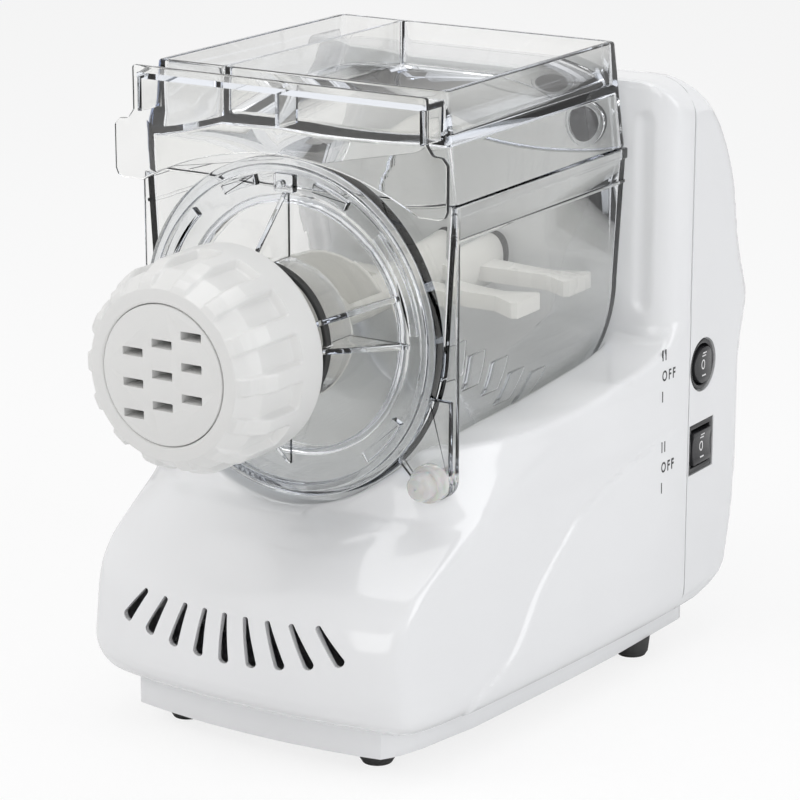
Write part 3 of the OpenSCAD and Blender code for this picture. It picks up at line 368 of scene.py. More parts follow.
def block(name, low, high):
    x0, y0, z0 = low
    x1, y1, z1 = high
    points = [(x, y, z) for x in (x0, x1) for y in (y0, y1) for z in (z0, z1)]
    faces = [(0, 1, 3, 2), (4, 6, 7, 5), (0, 4, 5, 1), (2, 3, 7, 6), (0, 2, 6, 4), (1, 5, 7, 3)]
    return newPiece(name, points, faces)


print("stage: housing")

# height of the line on which spindle, screw, ring and die turn
axisZ = 183
housing = {
    "front": 129, "towerFront": 80, "halfWidth": 102, "skirt": 20, "shoulder": 158, "seam": 99, "seamGap": 0.3,
    "top": 272.5, "topRound": 20, "saddle": 76, "wall": 3, "edge": 2.4, "fillet": 4,
    "coverBack": 166.5, "coverPower": 12, "cell": 1.6, "innerCell": 4.2,
}
# how the sides draw in to the front, to the crease beside the hood, and towards the foot
sides = {"step": 1.4, "stepWide": 3.2, "stepEnd": 0.7, "stepFade": 0.11, "flare": 15, "flareEnd": 88,
         "flarePower": 1.35, "creaseY": 121, "creaseIn": 20, "creaseReach": 5, "footTop": 45, "footSpan": 27,
         "footIn": 16, "footReach": 8, "lean": 0.05, "leanFrom": 40, "leanSpan": 99, "tuck": 10, "tuckTall": 16}
# share of the height from skirt to shoulder, then share of the reach
hoodLine = [[0, -.814], [.043, -.907], [.086, -.953], [.143, -.984], [.229, -1], [.357, -.977], [.443, -.93],
            [.536, -.822], [.607, -.713], [.643, -.651], [.679, -.636], [.743, -.62], [.8, -.574], [.836, -.543],
            [.85, -.341], [.864, -.062], [.886, .3375], [.921, .775], [.957, .95], [1, 1.05]]
creaseLine = [[0, -.77], [.057, -.85], [.15, -.9], [.25, -.905], [.36, -.865], [.45, -.78], [.529, -.63],
              [.607, -.46], [.679, -.35], [.764, -.14], [.829, .15], [.886, .4625], [.964, .8375], [1, 1]]
bowLine = [[0, 2.2], [.443, 2.2], [.529, 3], [.607, 4.5], [.679, 6], [1, 6]]
stepLine = [[.064, -.512], [.157, -.318], [.343, -.14], [.493, .0875], [.567, .35], [.611, .6125], [.648, .8875],
            [.679, 1.1625]]
coverLine = [[0, .43], [.016, .5], [.044, .7], [.1, .785], [.158, .845], [.27, .883], [.42, .883], [.475, .91],
             [.515, .955], [.558, 1], [.594, .955], [.626, .896], [.681, .822], [.776, .739], [.871, .548],
             [.933, .335], [.97, .19], [1, .06]]


def flowing(table, steps=800):
    # a smooth curve through the table that never overshoots it
    x, y = np.array(table, float).T
    width, slope = np.diff(x), np.diff(y) / np.diff(x)
    tangent = np.zeros(len(x))
    rising = slope[:-1] * slope[1:] > 0
    a, b = 2 * width[1:] + width[:-1], width[1:] + 2 * width[:-1]
    tangent[1:-1][rising] = ((a + b) / (a / slope[:-1] + b / slope[1:]))[rising]
    tangent[0], tangent[-1] = slope[0], slope[-1]
    u = np.linspace(x[0], x[-1], steps)
    k = np.clip(np.searchsorted(x, u) - 1, 0, len(width) - 1)
    t, w = (u - x[k]) / width[k], width[k]
    v = ((1 + 2 * t) * (1 - t) ** 2 * y[k] + t * (1 - t) ** 2 * w * tangent[k]
         + t * t * (3 - 2 * t) * y[k + 1] + t * t * (t - 1) * w * tangent[k + 1])
    return u, v


hoodCurve, creaseCurve, bowCurve, stepCurve, coverCurve = (
    flowing(t) for t in (hoodLine, creaseLine, bowLine, stepLine, coverLine))


def reach(fraction):
    return np.where(fraction < 0, fraction * housing["front"], fraction * housing["towerFront"])


def heightShare(z):
    return (z - housing["skirt"]) / (housing["shoulder"] - housing["skirt"])


def underTuck(z):
    tall = sides["tuckTall"]
    s = np.clip((housing["skirt"] + tall - z) / tall, 0, 1)
    return sides["tuck"] * (1 - np.sqrt(1 - s * s))


def sideX(y, z):
    s, seam = sides, housing["seam"]
    z = np.minimum(z, housing["shoulder"])
    share = heightShare(z)
    low = (np.maximum(0, s["footTop"] - z) / s["footSpan"]) ** 2
    ahead = seam - np.minimum(y, seam)
    step = np.clip((y - reach(np.interp(share, *stepCurve))) / s["stepWide"] + 0.5, 0, 1)
    fade = np.clip((s["stepEnd"] - share) / s["stepFade"], 0, 1)
    step = 1 - (1 - step * step * (3 - 2 * step)) * fade * fade * (3 - 2 * fade)
    flare = s["flare"] * (ahead / (seam + s["flareEnd"])) ** s["flarePower"]
    fall = s["creaseReach"] + s["footReach"] * low
    crease = (s["creaseIn"] + s["footIn"] * low) * np.exp(-(y + s["creaseY"]) / fall)
    lean = s["lean"] * np.maximum(0, z - s["leanFrom"]) * ahead / s["leanSpan"]
    return housing["halfWidth"] - s["step"] - flare - crease - lean - underTuck(z) + s["step"] * step


def unit(field, p):
    # first-order distance to the surface where the field is zero
    h = 0.02
    slopes = [(field(p + d) - field(p - d)) / (2 * h) for d in np.eye(3) * h]
    return field(p) / np.maximum(np.sqrt(sum(s * s for s in slopes)), 0.2)


def roundMax(a, b, r):
    return np.minimum(np.maximum(a, b), -r) + np.hypot(np.maximum(a + r, 0), np.maximum(b + r, 0))


def roundMin(a, b, r):
    return -roundMax(-a, -b, r)


def hoodField(p):
    x, y, z = p.T
    share = heightShare(z)
    f = reach(np.interp(share, *hoodCurve))
    c = np.maximum(reach(np.interp(share, *creaseCurve)), f + 1)
    across = np.minimum(np.abs(x) / sideX(c, z), 1.2)
    return f + (c - f) * across ** np.interp(share, *bowCurve) + 3 * np.maximum(z - housing["shoulder"], 0) - y


def towerField(p):
    x, y, z = p.T
    across = np.minimum(np.abs(x) / (housing["halfWidth"] - 0.2), 0.9995)
    return housing["towerFront"] + 19 * (1 - (1 - across ** 16) ** 0.55) - y


def sideField(p):
    return np.abs(p[:, 0]) - sideX(p[:, 1], p[:, 2])


def earField(p):
    # room in front for the ears and thumb screws
    x, y, z = np.abs(p[:, 0]), p[:, 1], p[:, 2]
    slant = -0.756 * (x - 64.6) - 0.655 * (z - 120.4) - 1
    straight = np.maximum.reduce([x - 79.5, slant, 126 - z])
    return roundMax(np.minimum(np.hypot(x - 71, z - 126) - 9.5, straight), y + 66, 1.5)


dish = {"at": (-5, -121.05, 92.36), "semi": (82, 40, 10.2), "turn": 45}
channel = {"x": 86, "y": 76, "low": 172, "high": 254.5, "radius": 6}


def dishField(p):
    # shallow oval hollow in the slope of the hood
    v, w = math.cos(math.radians(dish["turn"])), math.sin(math.radians(dish["turn"]))
    x, y, z = (p - dish["at"]).T
    a, b, c = dish["semi"]
    return c * (np.sqrt((x / a) ** 2 + ((y * v + z * w) / b) ** 2 + ((z * v - y * w) / c) ** 2) - 1)


def channelField(p):
    c = channel
    along = p[:, 2] - np.clip(p[:, 2], c["low"], c["high"])
    return np.sqrt((np.abs(p[:, 0]) - c["x"]) ** 2 + (p[:, 1] - c["y"]) ** 2 + along ** 2) - c["radius"]


def housingField(p):
    x, y, z = p.T
    trough = housing["saddle"] - np.hypot(x, z - axisZ)
    hood = roundMax(unit(hoodField, p), trough, housing["edge"])
    hood = roundMax(hood, -unit(dishField, p), 0.8)
    front = roundMin(hood, unit(towerField, p), housing["fillet"])
    front = roundMax(front, -channelField(p), 1.2)
    body = roundMax(unit(sideField, p), front, housing["edge"])
    body = roundMax(body, -earField(p), 1.2)
    top = roundMax(np.abs(x) - housing["halfWidth"], z - housing["top"], housing["topRound"])
    return roundMax(body, top, 1.5)


def coverField(p):
    x, y, z = p.T
    share = np.clip((z - housing["skirt"]) / (housing["top"] - housing["skirt"]), 0, 1)
    d = np.maximum(0, z - housing["top"] + housing["topRound"])
    inset = housing["topRound"] - np.sqrt(np.maximum(housing["topRound"] ** 2 - d * d, 0.01))
    w = housing["halfWidth"] - underTuck(z) - inset
    b = (housing["coverBack"] - housing["seam"]) * np.interp(share, *coverCurve)
    n = housing["coverPower"]
    across = np.abs(x) / w
    behind = np.maximum(y - housing["seam"], 0) / b
    return (across ** n + behind ** n + 1e-9) ** (1 / n) - 1


def coverSolid(p):
    return np.maximum(unit(coverField, p), p[:, 2] - housing["top"])


def netSurface(name, field, low, high, cell):
    # one point in each cell that the surface crosses, moved onto the surface, and a quad round each crossed edge
    axes = [np.arange(low[i], high[i] + cell, cell) for i in range(3)]
    shape = [len(a) for a in axes]
    grid = np.stack(np.meshgrid(*axes, indexing="ij"), -1)
    rough = grid[::4, ::4, ::4]
    value = field(rough.reshape(-1, 3)).reshape(rough.shape[:3])
    inside, close = value < 0, np.abs(value) < 9 * cell
    for step in np.ndindex(3, 3, 3):
        close |= inside != np.roll(inside, np.array(step) - 1, (0, 1, 2))
    for i in range(3):
        inside, close = (np.repeat(state, 4, i).take(np.arange(shape[i]), i) for state in (inside, close))
    inside[close] = np.concatenate([field(part) < 0 for part in np.array_split(grid[close], 12)])
    count = sum(inside[i:shape[0] - 1 + i, j:shape[1] - 1 + j, k:shape[2] - 1 + k].astype(int)
                for i in (0, 1) for j in (0, 1) for k in (0, 1))
    mixed = (count > 0) & (count < 8)
    index = np.full(mixed.shape, -1)
    index[mixed] = np.arange(mixed.sum())
    points = np.stack([axes[i][np.nonzero(mixed)[i]] for i in range(3)], -1) + cell / 2
    quads = []
    for a in range(3):
        order = [a, (a + 1) % 3, (a + 2) % 3]
        state, ids = np.transpose(inside, order), np.transpose(index, order)
        here, after = state[:-1, 1:-1, 1:-1], state[1:, 1:-1, 1:-1]
        i, j, k = np.nonzero(here != after)
        loop = np.stack([ids[i, j, k], ids[i, j + 1, k], ids[i, j + 1, k + 1], ids[i, j, k + 1]], -1)
        outward = here[i, j, k]
        quads.append(np.where(outward[:, None], loop, loop[:, ::-1]))
    quads = np.concatenate(quads)
    ends = np.concatenate([quads, np.roll(quads, -1, 1)], 1).reshape(-1, 2, 4).transpose(0, 2, 1).reshape(-1, 2)
    near = np.bincount(ends[:, 0], minlength=len(points))[:, None]
    for turn in range(5):
        if turn:
            pull = np.stack([np.bincount(ends[:, 0], points[ends[:, 1], i], len(points)) for i in range(3)], -1)
            points = points + 0.7 * (pull / near - points)
        for step in range(2):
            h = 0.03
            value = field(points)
            slope = np.stack([(field(points + d) - field(points - d)) / (2 * h) for d in np.eye(3) * h], -1)
            move = -value[:, None] * slope / np.maximum((slope ** 2).sum(1, keepdims=True), 0.1)
            size = np.linalg.norm(move, axis=1, keepdims=True)
            points = points + move * np.minimum(1, cell / np.maximum(size, 1e-9))
    return newPiece(name, points, quads)


def makeShell(name, solid, y0, y1, behind):
    # closed a little past the seam and the skirt, hollowed, then cut off there
    h, past, wide, gap = housing, 4, 150, housing["seamGap"] / 2
    low, high = (-h["halfWidth"] - 5, y0, h["skirt"] - 8), (h["halfWidth"] + 4, y1, h["top"] + 5)

    def closed(p, wall=0, past=past):
        seam = h["seam"] - past - p[:, 1] if behind else p[:, 1] - h["seam"] - past
        return np.maximum.reduce([solid(p) + wall, seam, h["skirt"] - past - p[:, 2]])

    def inner(p):
        return closed(p, h["wall"], past + 1)

    shell = netSurface(name, closed, low, high, h["cell"])
    cut(shell, netSurface("void", inner, low, high, h["innerCell"]))
    y0, y1 = (0, h["seam"] + gap) if behind else (h["seam"] - gap, 200)
    cut(shell, block("seamCut", (-wide, y0, 0), (wide, y1, 300)))
    cut(shell, block("skirtCut", (-wide, -200, 0), (wide, 200, h["skirt"])))
    return shell


def vector(tree, x, y, z):
    return addNode(tree, "ShaderNodeCombineXYZ", {0: x, 1: y, 2: z}).outputs[0]


def spreadCopies(name, shape, count, sizes, rule, finishName):
    # copies of a shape on a row of points, each put, turned and stretched by the rule
    labels = [(label, "Float") for label in sizes]
    tree, given, result = newTree(name + "Copies", "GeometryNodeTree",
                                  [("Geometry", "Geometry"), ("Shape", "Object"), ("Count", "Int"), *labels],
                                  [("Geometry", "Geometry")])
    tree.is_modifier = True
    row = addNode(tree, "GeometryNodeMeshLine", {"Count": given["Count"]}).outputs[0]
    place, turn, stretch = rule(tree, addNode(tree, "GeometryNodeInputIndex").outputs[0], given)
    points = addNode(tree, "GeometryNodeSetPosition", {"Geometry": row, "Position": place}).outputs[0]
    info = addNode(tree, "GeometryNodeObjectInfo", {0: given["Shape"]})
    spread = addNode(tree, "GeometryNodeInstanceOnPoints", {"Points": points, "Instance": info.outputs["Geometry"],
                                                            "Rotation": turn, "Scale": stretch})
    real = addNode(tree, "GeometryNodeRealizeInstances", {0: spread.outputs[0]})
    paint = addNode(tree, "GeometryNodeSetMaterial", {0: real.outputs[0], "Material": material[finishName]})
    tree.links.new(paint.outputs[0], result[0])
    piece = newPiece(name, [], [])
    change = piece.modifiers.new("copies", "NODES")
    change.node_group = tree
    values = {"Shape": shape, "Count": count, **sizes}
    for item in tree.interface.items_tree:
        if item.in_out == "INPUT" and item.name in values:
            change[item.identifier] = values[item.name]
    bake(piece)
    bpy.data.objects.remove(shape)
    return piece


def roundEdges(piece, width, segments, degrees):
    change = piece.modifiers.new("round", "BEVEL")
    change.width = width * mm
    change.segments = segments
    change.limit_method = "ANGLE"
    change.angle_limit = math.radians(degrees)
    return bake(piece)


def arc(r, start, end, steps, x=0, z=axisZ):
    turns = [math.radians(start + (end - start) * i / steps) for i in range(steps + 1)]
    return [(x + r * math.cos(t), z + r * math.sin(t)) for t in turns]


def mirrored(half):
    # a right half from bottom to top, closed over the middle
    return half + [(-u, v) for u, v in reversed(half) if u > 1e-6]


def rectangle(x0, x1, y0, y1):
    return [(x0, y0), (x1, y0), (x1, y1), (x0, y1)]


def rounded(points, radius, steps=4):
    shape = []
    for i, point in enumerate(points):
        p = Vector(point)
        a, b = Vector(points[i - 1]) - p, Vector(points[(i + 1) % len(points)]) - p
        turn = math.pi - a.angle(b, math.pi)
        if turn < 0.3:
            shape.append(tuple(p))
            continue
        t = min(radius * math.tan(turn / 2), 0.45 * a.length, 0.45 * b.length)
        start, end = p + a.normalized() * t, p + b.normalized() * t
        for k in range(steps + 1):
            u = k / steps
            shape.append(tuple((1 - u) ** 2 * start + 2 * u * (1 - u) * p + u * u * end))
    return shape


def inset(outline, d):
    p = np.array(outline, float)
    edge = np.roll(p, -1, 0) - p
    normal = np.stack([-edge[:, 1], edge[:, 0]], -1) / np.maximum(np.linalg.norm(edge, axis=1, keepdims=True), 1e-9)
    before = np.roll(normal, 1, 0)
    share = np.maximum(1 + (normal * before).sum(1, keepdims=True), 0.4)
    return p + d * (normal + before) / share


def alongY(u, v, w):
    return u, w, v


def alongZ(u, v, w):
    return u, v, w


def alongX(u, v, w):
    return w, u, v


def skin(name, rings):
    # rings of equal count; the first is counter-clockwise as seen from outside
    n, last = len(rings[0]), len(rings) - 1
    faces = [tuple(range(n)), tuple(last * n + i for i in reversed(range(n)))]
    for k in range(last):
        faces += [(k * n + i, (k + 1) * n + i, (k + 1) * n + (i + 1) % n, k * n + (i + 1) % n) for i in range(n)]
    return newPiece(name, [p for ring in rings for p in ring], faces)


def soft(name, outline, near, far, edge=0, put=alongY, steps=3):
    # extrusion with rounded rims; near is the end from which the outline runs counter-clockwise
    way = 1 if far > near else -1
    turns = [math.pi / 2 * k / steps for k in range(steps + 1)] if edge else [math.pi / 2]
    caps = [(inset(outline, edge * (1 - math.sin(t))), edge * (1 - math.cos(t))) for t in turns]
    rings = [[put(u, v, near + way * d) for u, v in shape] for shape, d in caps]
    rings += [[put(u, v, far - way * d) for u, v in shape] for shape, d in reversed(caps)]
    return skin(name, rings)


def rod(name, r, y0, y1, x=0, z=axisZ, steps=64, edge=0):
    return soft(name, arc(r, 0, 360, steps, x, z)[:-1], y0, y1, edge)


def lathe(name, profile, steps=128, x=0, z=axisZ):
    # profile of radius and Y, from the outer back over the front to the inner back
    m = len(profile)
    turns = [2 * math.pi * i / steps for i in range(steps)]
    points = [(x + r * math.cos(t), y, z + r * math.sin(t)) for t in turns for r, y in profile]
    faces = [(i * m + j, (i + 1) % steps * m + j, (i + 1) % steps * m + (j + 1) % m, i * m + (j + 1) % m)
             for i in range(steps) for j in range(m)]
    return newPiece(name, points, faces)


def turnedAboutAxis(piece, degrees):
    z = axisZ * mm
    piece.data.transform(Matrix.Translation((0, 0, z)) @ Matrix.Rotation(math.radians(-degrees), 4, "Y")
                         @ Matrix.Translation((0, 0, -z)))
    return piece


def join(piece, *tools):
    for tool in tools:
        cut(piece, tool, "UNION")
    return piece


vents = {"count": 9, "span": 54.5, "lowZ": 50, "rise": 7, "length": 22, "near": 0.76, "wide": 2.6, "narrow": 1.3}


def ventRule(tree, index, given):
    # lower in the middle, and leaning in more towards the ends
    middle = maths(tree, "MULTIPLY", maths(tree, "SUBTRACT", given["Count"], 1.0), 0.5)
    t = maths(tree, "DIVIDE", maths(tree, "SUBTRACT", index, middle), middle)
    square = maths(tree, "MULTIPLY", t, t)
    x = maths(tree, "MULTIPLY", t, given["Span"])
    z = maths(tree, "MULTIPLY_ADD", square, given["Rise"], given["Low"])
    height = maths(tree, "MULTIPLY", maths(tree, "MULTIPLY_ADD", square, -0.1, 0.86), given["Length"])
    aside = maths(tree, "MULTIPLY", x, maths(tree, "SUBTRACT", given["Near"], 1.0))
    lean = maths(tree, "ARCTAN2", aside, height)
    tall = maths(tree, "DIVIDE", height, given["Length"])
    return vector(tree, x, 0, z), vector(tree, 0, lean, 0), vector(tree, 1, 1, tall)


def makeVentTool():
    v = vents
    slot = arc(v["wide"], 180, 360, 12, 0, 0) + arc(v["narrow"], 0, 180, 8, 0, v["length"])
    sizes = {"Span": v["span"] * mm, "Low": v["lowZ"] * mm, "Rise": v["rise"] * mm, "Length": v["length"] * mm,
             "Near": v["near"]}
    return spreadCopies("ventTool", soft("ventSlot", slot, -150, -88), v["count"], sizes, ventRule, "glossyWhite")


mainHousing = makeShell("mainHousing", housingField, -housing["front"] - 6, housing["seam"] + 7, False)
cut(mainHousing, makeVentTool())
cut(mainHousing, rod("sealSeat", 13.1, 78, 90))
for side in (-71, 71):
    cut(mainHousing, rod("studRoom", 4.5, -100, -60.5, side, 126))
smoothByAngle(mainHousing)
finishPiece(mainHousing, "glossyWhite", "housing", ["main_housing"])

rearParts = {"seatX": 99.4, "pivotX": 95.9, "rockerTop": 6.8, "switchY": 112, "roundZ": 138, "squareZ": 99,
             "bezelR": 12.4, "bezelHalf": 11.75, "inlet": (-60, 40), "inletSeat": 143.85,
             "screws": ((78, 227.5), (86, 46))}


def disc(name, r, x0, x1, y, z):
    return soft(name, arc(r, 0, 360, 72, y, z)[:-1], x1, x0, 0, alongX)


def cutCover(cover):
    r = rearParts
    x, y, gap = r["seatX"], r["switchY"], 0.25
    half, inner = r["bezelHalf"] + gap, r["bezelHalf"] - 2 + gap
    cut(cover, disc("roundSeat", r["bezelR"] + gap, x, x + 9, y, r["roundZ"]))
    cut(cover, disc("roundHole", r["bezelR"] - 2 + gap, x - 20, x + 9, y, r["roundZ"]))
    z = r["squareZ"]
    cut(cover, block("squareSeat", (x, y - half, z - half), (x + 9, y + half, z + half)))
    cut(cover, block("squareHole", (x - 20, y - inner, z - inner), (x + 9, y + inner, z + inner)))
    ix, iz = r["inlet"]
    cut(cover, rod("glandSeat", 9, r["inletSeat"], 200, ix, iz))
    cut(cover, rod("glandHole", 6.3, r["inletSeat"] - 12, 200, ix, iz))
    for sx, sz in r["screws"]:
        for side in (-sx, sx):
            cut(cover, rod("screwRoom", 3.9, 113, 200, side, sz, 32))
    return cover


rearCover = makeShell("rearCover", coverSolid, housing["seam"] - 8, housing["coverBack"] + 6, True)
smoothByAngle(cutCover(rearCover))
finishPiece(rearCover, "glossyWhite", "housing", ["rear_cover"])
print("housing faces", len(mainHousing.data.polygons), "cover faces", len(rearCover.data.polygons))

print("stage: clear mouldings")

tub = {"radius": 75, "rim": 78.5, "rimZ": 243, "front": -70, "back": 77, "wall": 2.5, "flange": 3, "mouth": 57,
       "earX": 71, "earZ": 126, "earR": 8.5, "earTurn": 221.3, "earDrop": 51.2, "earSide": 79.5, "padOut": 1.2,
       "padHeight": 15.5,
       "pads": ((-67, 183), (-50, 175), (-29, 167.5), (-10, 158), (12, 153))}


def tubSection(g, top):
    shape = arc(tub["radius"] - g, 180, 360, 96)
    return shape + [(tub["rim"] - g, top), (-tub["rim"] + g, top)]


def earArc(side):
    ear = arc(tub["earR"], tub["earTurn"], 360, 14, tub["earX"], tub["earZ"])
    return [(min(x, side), z) for x, z in ear]


def flangeHalf(inner, side, top):
    # from the bottom along a circle, over the ear and up the side
    meet = math.degrees(math.asin(-tub["earDrop"] / inner))
    return arc(inner, -90, meet, 40) + earArc(side) + [(side, top)]


def makeHopper():
    t = tub
    shell = soft("clearHopper", rounded(tubSection(0, t["rimZ"]), 0.6), t["front"], t["back"], 0.7)
    join(shell, soft("flange", rounded(mirrored(flangeHalf(t["radius"], t["earSide"], t["rimZ"])), 1.0),
                     t["front"], t["front"] + t["flange"], 0.7))
    for side in (-1, 1):
        bead = rectangle(side * 76.5, side * 79.3, t["rimZ"] - 5, t["rimZ"])[::side]
        join(shell, soft("bead", rounded(bead, 0.8), t["front"], t["back"], 0.6))
        line = rectangle(side * 75.3, side * 78.5, t["rimZ"] - 16, t["rimZ"] - 14.4)[::side]
        join(shell, soft("rimLine", rounded(line, 0.5), t["front"] + 0.5, t["back"] - 0.5, 0.4))
    void = tubSection(t["wall"], t["rimZ"] + 4)
    cut(shell, soft("tubVoid", void, t["front"] + t["flange"], t["back"] - t["wall"], 1.6))
    inner = t["radius"] - t["wall"]
    for y, top in t["pads"]:
        low, high = (math.degrees(math.asin((z - axisZ) / inner)) for z in (top - t["padHeight"], top))
        for right in (True, False):
            turns = (low, high) if right else (180 - high, 180 - low)
            pad = arc(inner + 0.6, *turns, 12) + arc(inner - t["padOut"], *turns[::-1], 12)
            join(shell, soft("pad", rounded(pad, 0.8), y, min(y + 14, t["back"] - 10), 0.5))
    cut(shell, rod("mouth", t["mouth"], t["front"] - 1, t["front"] + t["flange"] + 3, steps=160))
    cut(shell, rod("spindleHole", 8, 60, 90))
    for side in (-1, 1):
        cut(shell, rod("studHole", 3.4, t["front"] - 1, t["front"] + 4, side * t["earX"], t["earZ"], 32))
    return smoothByAngle(shell, 34)


finishPiece(makeHopper(), "clearPlastic", "hopper", ["hopper"])

panel = {"rim": 73.7, "step": 70.7, "inner": 67.7, "face": -76, "front": -80, "back": -70.3, "tube": 31, "bore": 28.4,
         "tubeEnd": -153, "spigot": 56.5, "spigotBack": -65.3, "ribReach": 60, "ribLength": 30, "ribWidth": 2.4,
         "ribs": (-90, 0, 20, 90, 160, 180), "ringFront": -97, "ringBack": -93, "ringTall": 2.2,
         "arcs": ((5, 45), (61, 77), (-52, -30)), "arcR": 62, "arcWide": 4.6, "arcTall": 3.4}


def makePanel():
    p, axis = panel, axisZ
    profile = [(p["rim"], p["back"]), (p["rim"], -77.5), (p["step"], -77.5), (p["step"], p["front"]),
               (p["inner"], p["front"]), (p["inner"], p["face"]), (p["tube"], p["face"]), (p["tube"], p["tubeEnd"]),
               (p["bore"], p["tubeEnd"]), (p["bore"], -73.5), (54, -73.5), (54, p["spigotBack"]),
               (p["spigot"], p["spigotBack"]), (p["spigot"], p["back"])]
    disk = lathe("clearPanel", rounded(profile, 0.7, 3), 160)
    ear = earArc(78.5) + [(78.5, 161), (67.2, 161)] + arc(p["step"], -18.1, -43.8, 10)
    for shape in (ear, [(-x, z) for x, z in reversed(ear)]):
        join(disk, soft("ear", rounded(shape, 0.8), p["back"] - 3.4, p["back"], 0.6))
    for side in (-1, 1):
        cut(disk, rod("studBore", 3.05, p["back"] - 6, p["back"] + 1, side * tub["earX"], tub["earZ"], 32))
    for turn in p["ribs"]:
        low, high = p["tube"] - 0.4, p["ribReach"]
        y0, y1 = p["face"] + 0.5, p["face"] - p["ribLength"]
        blade = rounded([(low, y1), (high, p["face"] - 1), (high, y0), (low, y0)], 0.8)
        half = p["ribWidth"] / 2
        rib = soft("rib", blade, axis + half, axis - half, 0.5, alongZ)
        cut(rib, lathe("ringRoom", [(p["tube"] + p["ringTall"] + 0.3, p["ringBack"] + 0.3),
                                    (p["tube"] + p["ringTall"] + 0.3, p["ringFront"] - 0.3),
                                    (p["tube"] - 4, p["ringFront"] - 0.3), (p["tube"] - 4, p["ringBack"] + 0.3)], 96))
        join(disk, turnedAboutAxis(rib, turn))
    top = p["face"] - p["arcTall"]
    for a0, a1 in p["arcs"]:
        for start, end in ((a0, a1), (180 - a1, 180 - a0)):
            bar = arc(p["arcR"] + p["arcWide"], start, end, 24) + arc(p["arcR"], end, start, 24)
            join(disk, soft("arcBar", rounded(bar, 1.2), top, p["face"] + 0.5, 0.7))
    lug = rounded(rectangle(-5, 5, axis + 59, axis + 67), 1)
    join(disk, soft("lug", lug, top, p["face"] + 0.5, 0.7))
    join(disk, rod("post", 1.7, top - 3, top + 1, 0, axis + 63, 24, 0.5))
    return smoothByAngle(disk, 34)


finishPiece(makePanel(), "clearPlastic", "panel", ["front_panel"])
sealRing = lathe("sealRing", rounded([(33.2, -93), (33.2, -97), (31.02, -97), (31.02, -93)], 0.9), 128)
finishPiece(smoothByAngle(sealRing), "softBlack", "panel", ["tube_seal_ring"])

lid = {"low": 243.3, "top": 290, "half": 72.5, "rim": 78.5, "front": -69.5, "frontTop": -68, "back": 77, "wall": 2.5,
       "tray": 269.92, "fall": 9, "divider": -36, "skirtFront": -84.5, "skirtBack": -82, "archR": 141, "archZ": 117.5,
       "skirt": 83.5, "magnetX": 60, "magnetZ": 255}


def roundBox(x0, x1, y0, y1, r, steps=6):
    return rounded(rectangle(x0, x1, y0, y1), r, steps)


def lidRing(z, g, r):
    share = (z - lid["low"]) / (lid["top"] - lid["low"])
    half = lid["rim"] + (lid["half"] - lid["rim"]) * share - g
    front = lid["front"] + (lid["frontTop"] - lid["front"]) * share + g
    return [(x, y, z) for x, y in roundBox(-half, half, front, lid["back"] - g, r)]


def makeLid():
    d = lid
    steps = ((0, 0.8), (0.2, 0.35), (0.5, 0.1), (0.9, 0))
    rings = [lidRing(d["top"] - s, g, 3.5) for s, g in steps]
    rings += [lidRing(d["low"] + s, g, 3.5) for s, g in reversed(steps)]
    shell = skin("clearLid", rings)
    slab, t, beyond = d["wall"], d["tray"], 90
    for x0, x1, floor in ((-d["half"] + slab, d["divider"] - slab, t - d["fall"]), (d["divider"], d["half"] - slab, t)):
        rings = [[(x, y, z) for x, y in roundBox(x0 + g, x1 - g, d["frontTop"] + slab + g, d["back"] - slab - g, 3)]
                 for z, g in ((d["top"] + 2, 0), (floor + 1.6, 0), (floor + 0.5, 0.4), (floor, 1.5))]
        room = skin("room", rings)
        if floor < t:
            side = d["divider"] + 1
            wedge = [(-beyond, floor - 20), (side, floor - 20), (side, t + 0.2), (-beyond, t - d["fall"] - 4)]
            cut(room, soft("wedge", wedge, -80, 90))
        cut(shell, room)
    low = [(-76, d["low"] - 2), (76, d["low"] - 2), (72.9, t - slab), (d["divider"] - slab, t - slab),
           (-73.2, t - slab - d["fall"])]
    cut(shell, soft("under", rounded(low, 1.5), d["front"] + slab, d["back"] - slab, 1.5))
    slot = roundBox(-64.5, -55.5, -56, 63, 2)
    cut(shell, soft("pourSlot", slot, t + 2, t - d["fall"] - 6, 0, alongZ))
    reach = math.degrees(math.acos((240.3 - d["archZ"]) / d["archR"]))
    arch = arc(d["archR"], 90, 90 - reach, 32, 0, d["archZ"])
    half = arch + [(79.5, 240.3), (82.3, 241.5), (83.5, 244.3), (83.5, 263.4), (81.1, 266.2), (76.5, 266.6),
                   (73.5, 270.7), (73.5, d["top"])]
    apron = soft("apron", rounded(mirrored(half), 1.6), d["skirtFront"], d["skirtBack"], 0.7)
    join(shell, apron)
    for x in (-71.7, -1, 69.5):
        web = roundBox(x, x + 2.2, d["skirtBack"] - 0.8, d["frontTop"] + 1.5, 0.4)
        join(shell, soft("web", web, d["top"] - 5, t, 0.5, alongZ))
    ledge = rounded(rectangle(-72, 72, d["top"] - 6, d["top"] - 3.5), 0.6)
    join(shell, soft("ledge", ledge, d["skirtBack"] - 0.8, d["frontTop"] + 1.5))
    cup = lathe("cup", rounded([(10, 76), (10, 70.5), (7.55, 70.5), (7.55, 76)], 0.6), 64, d["magnetX"], d["magnetZ"])
    join(shell, cup)
    return smoothByAngle(shell, 34)


finishPiece(makeLid(), "clearPlastic", "lid", ["lid"])

print("stage: ring, die and screws")

grip = {"back": -116.6, "front": -166.4, "radius": 45, "lugs": 14, "pocket": 9.2, "pocketBack": -131.6, "dieR": 29.3}


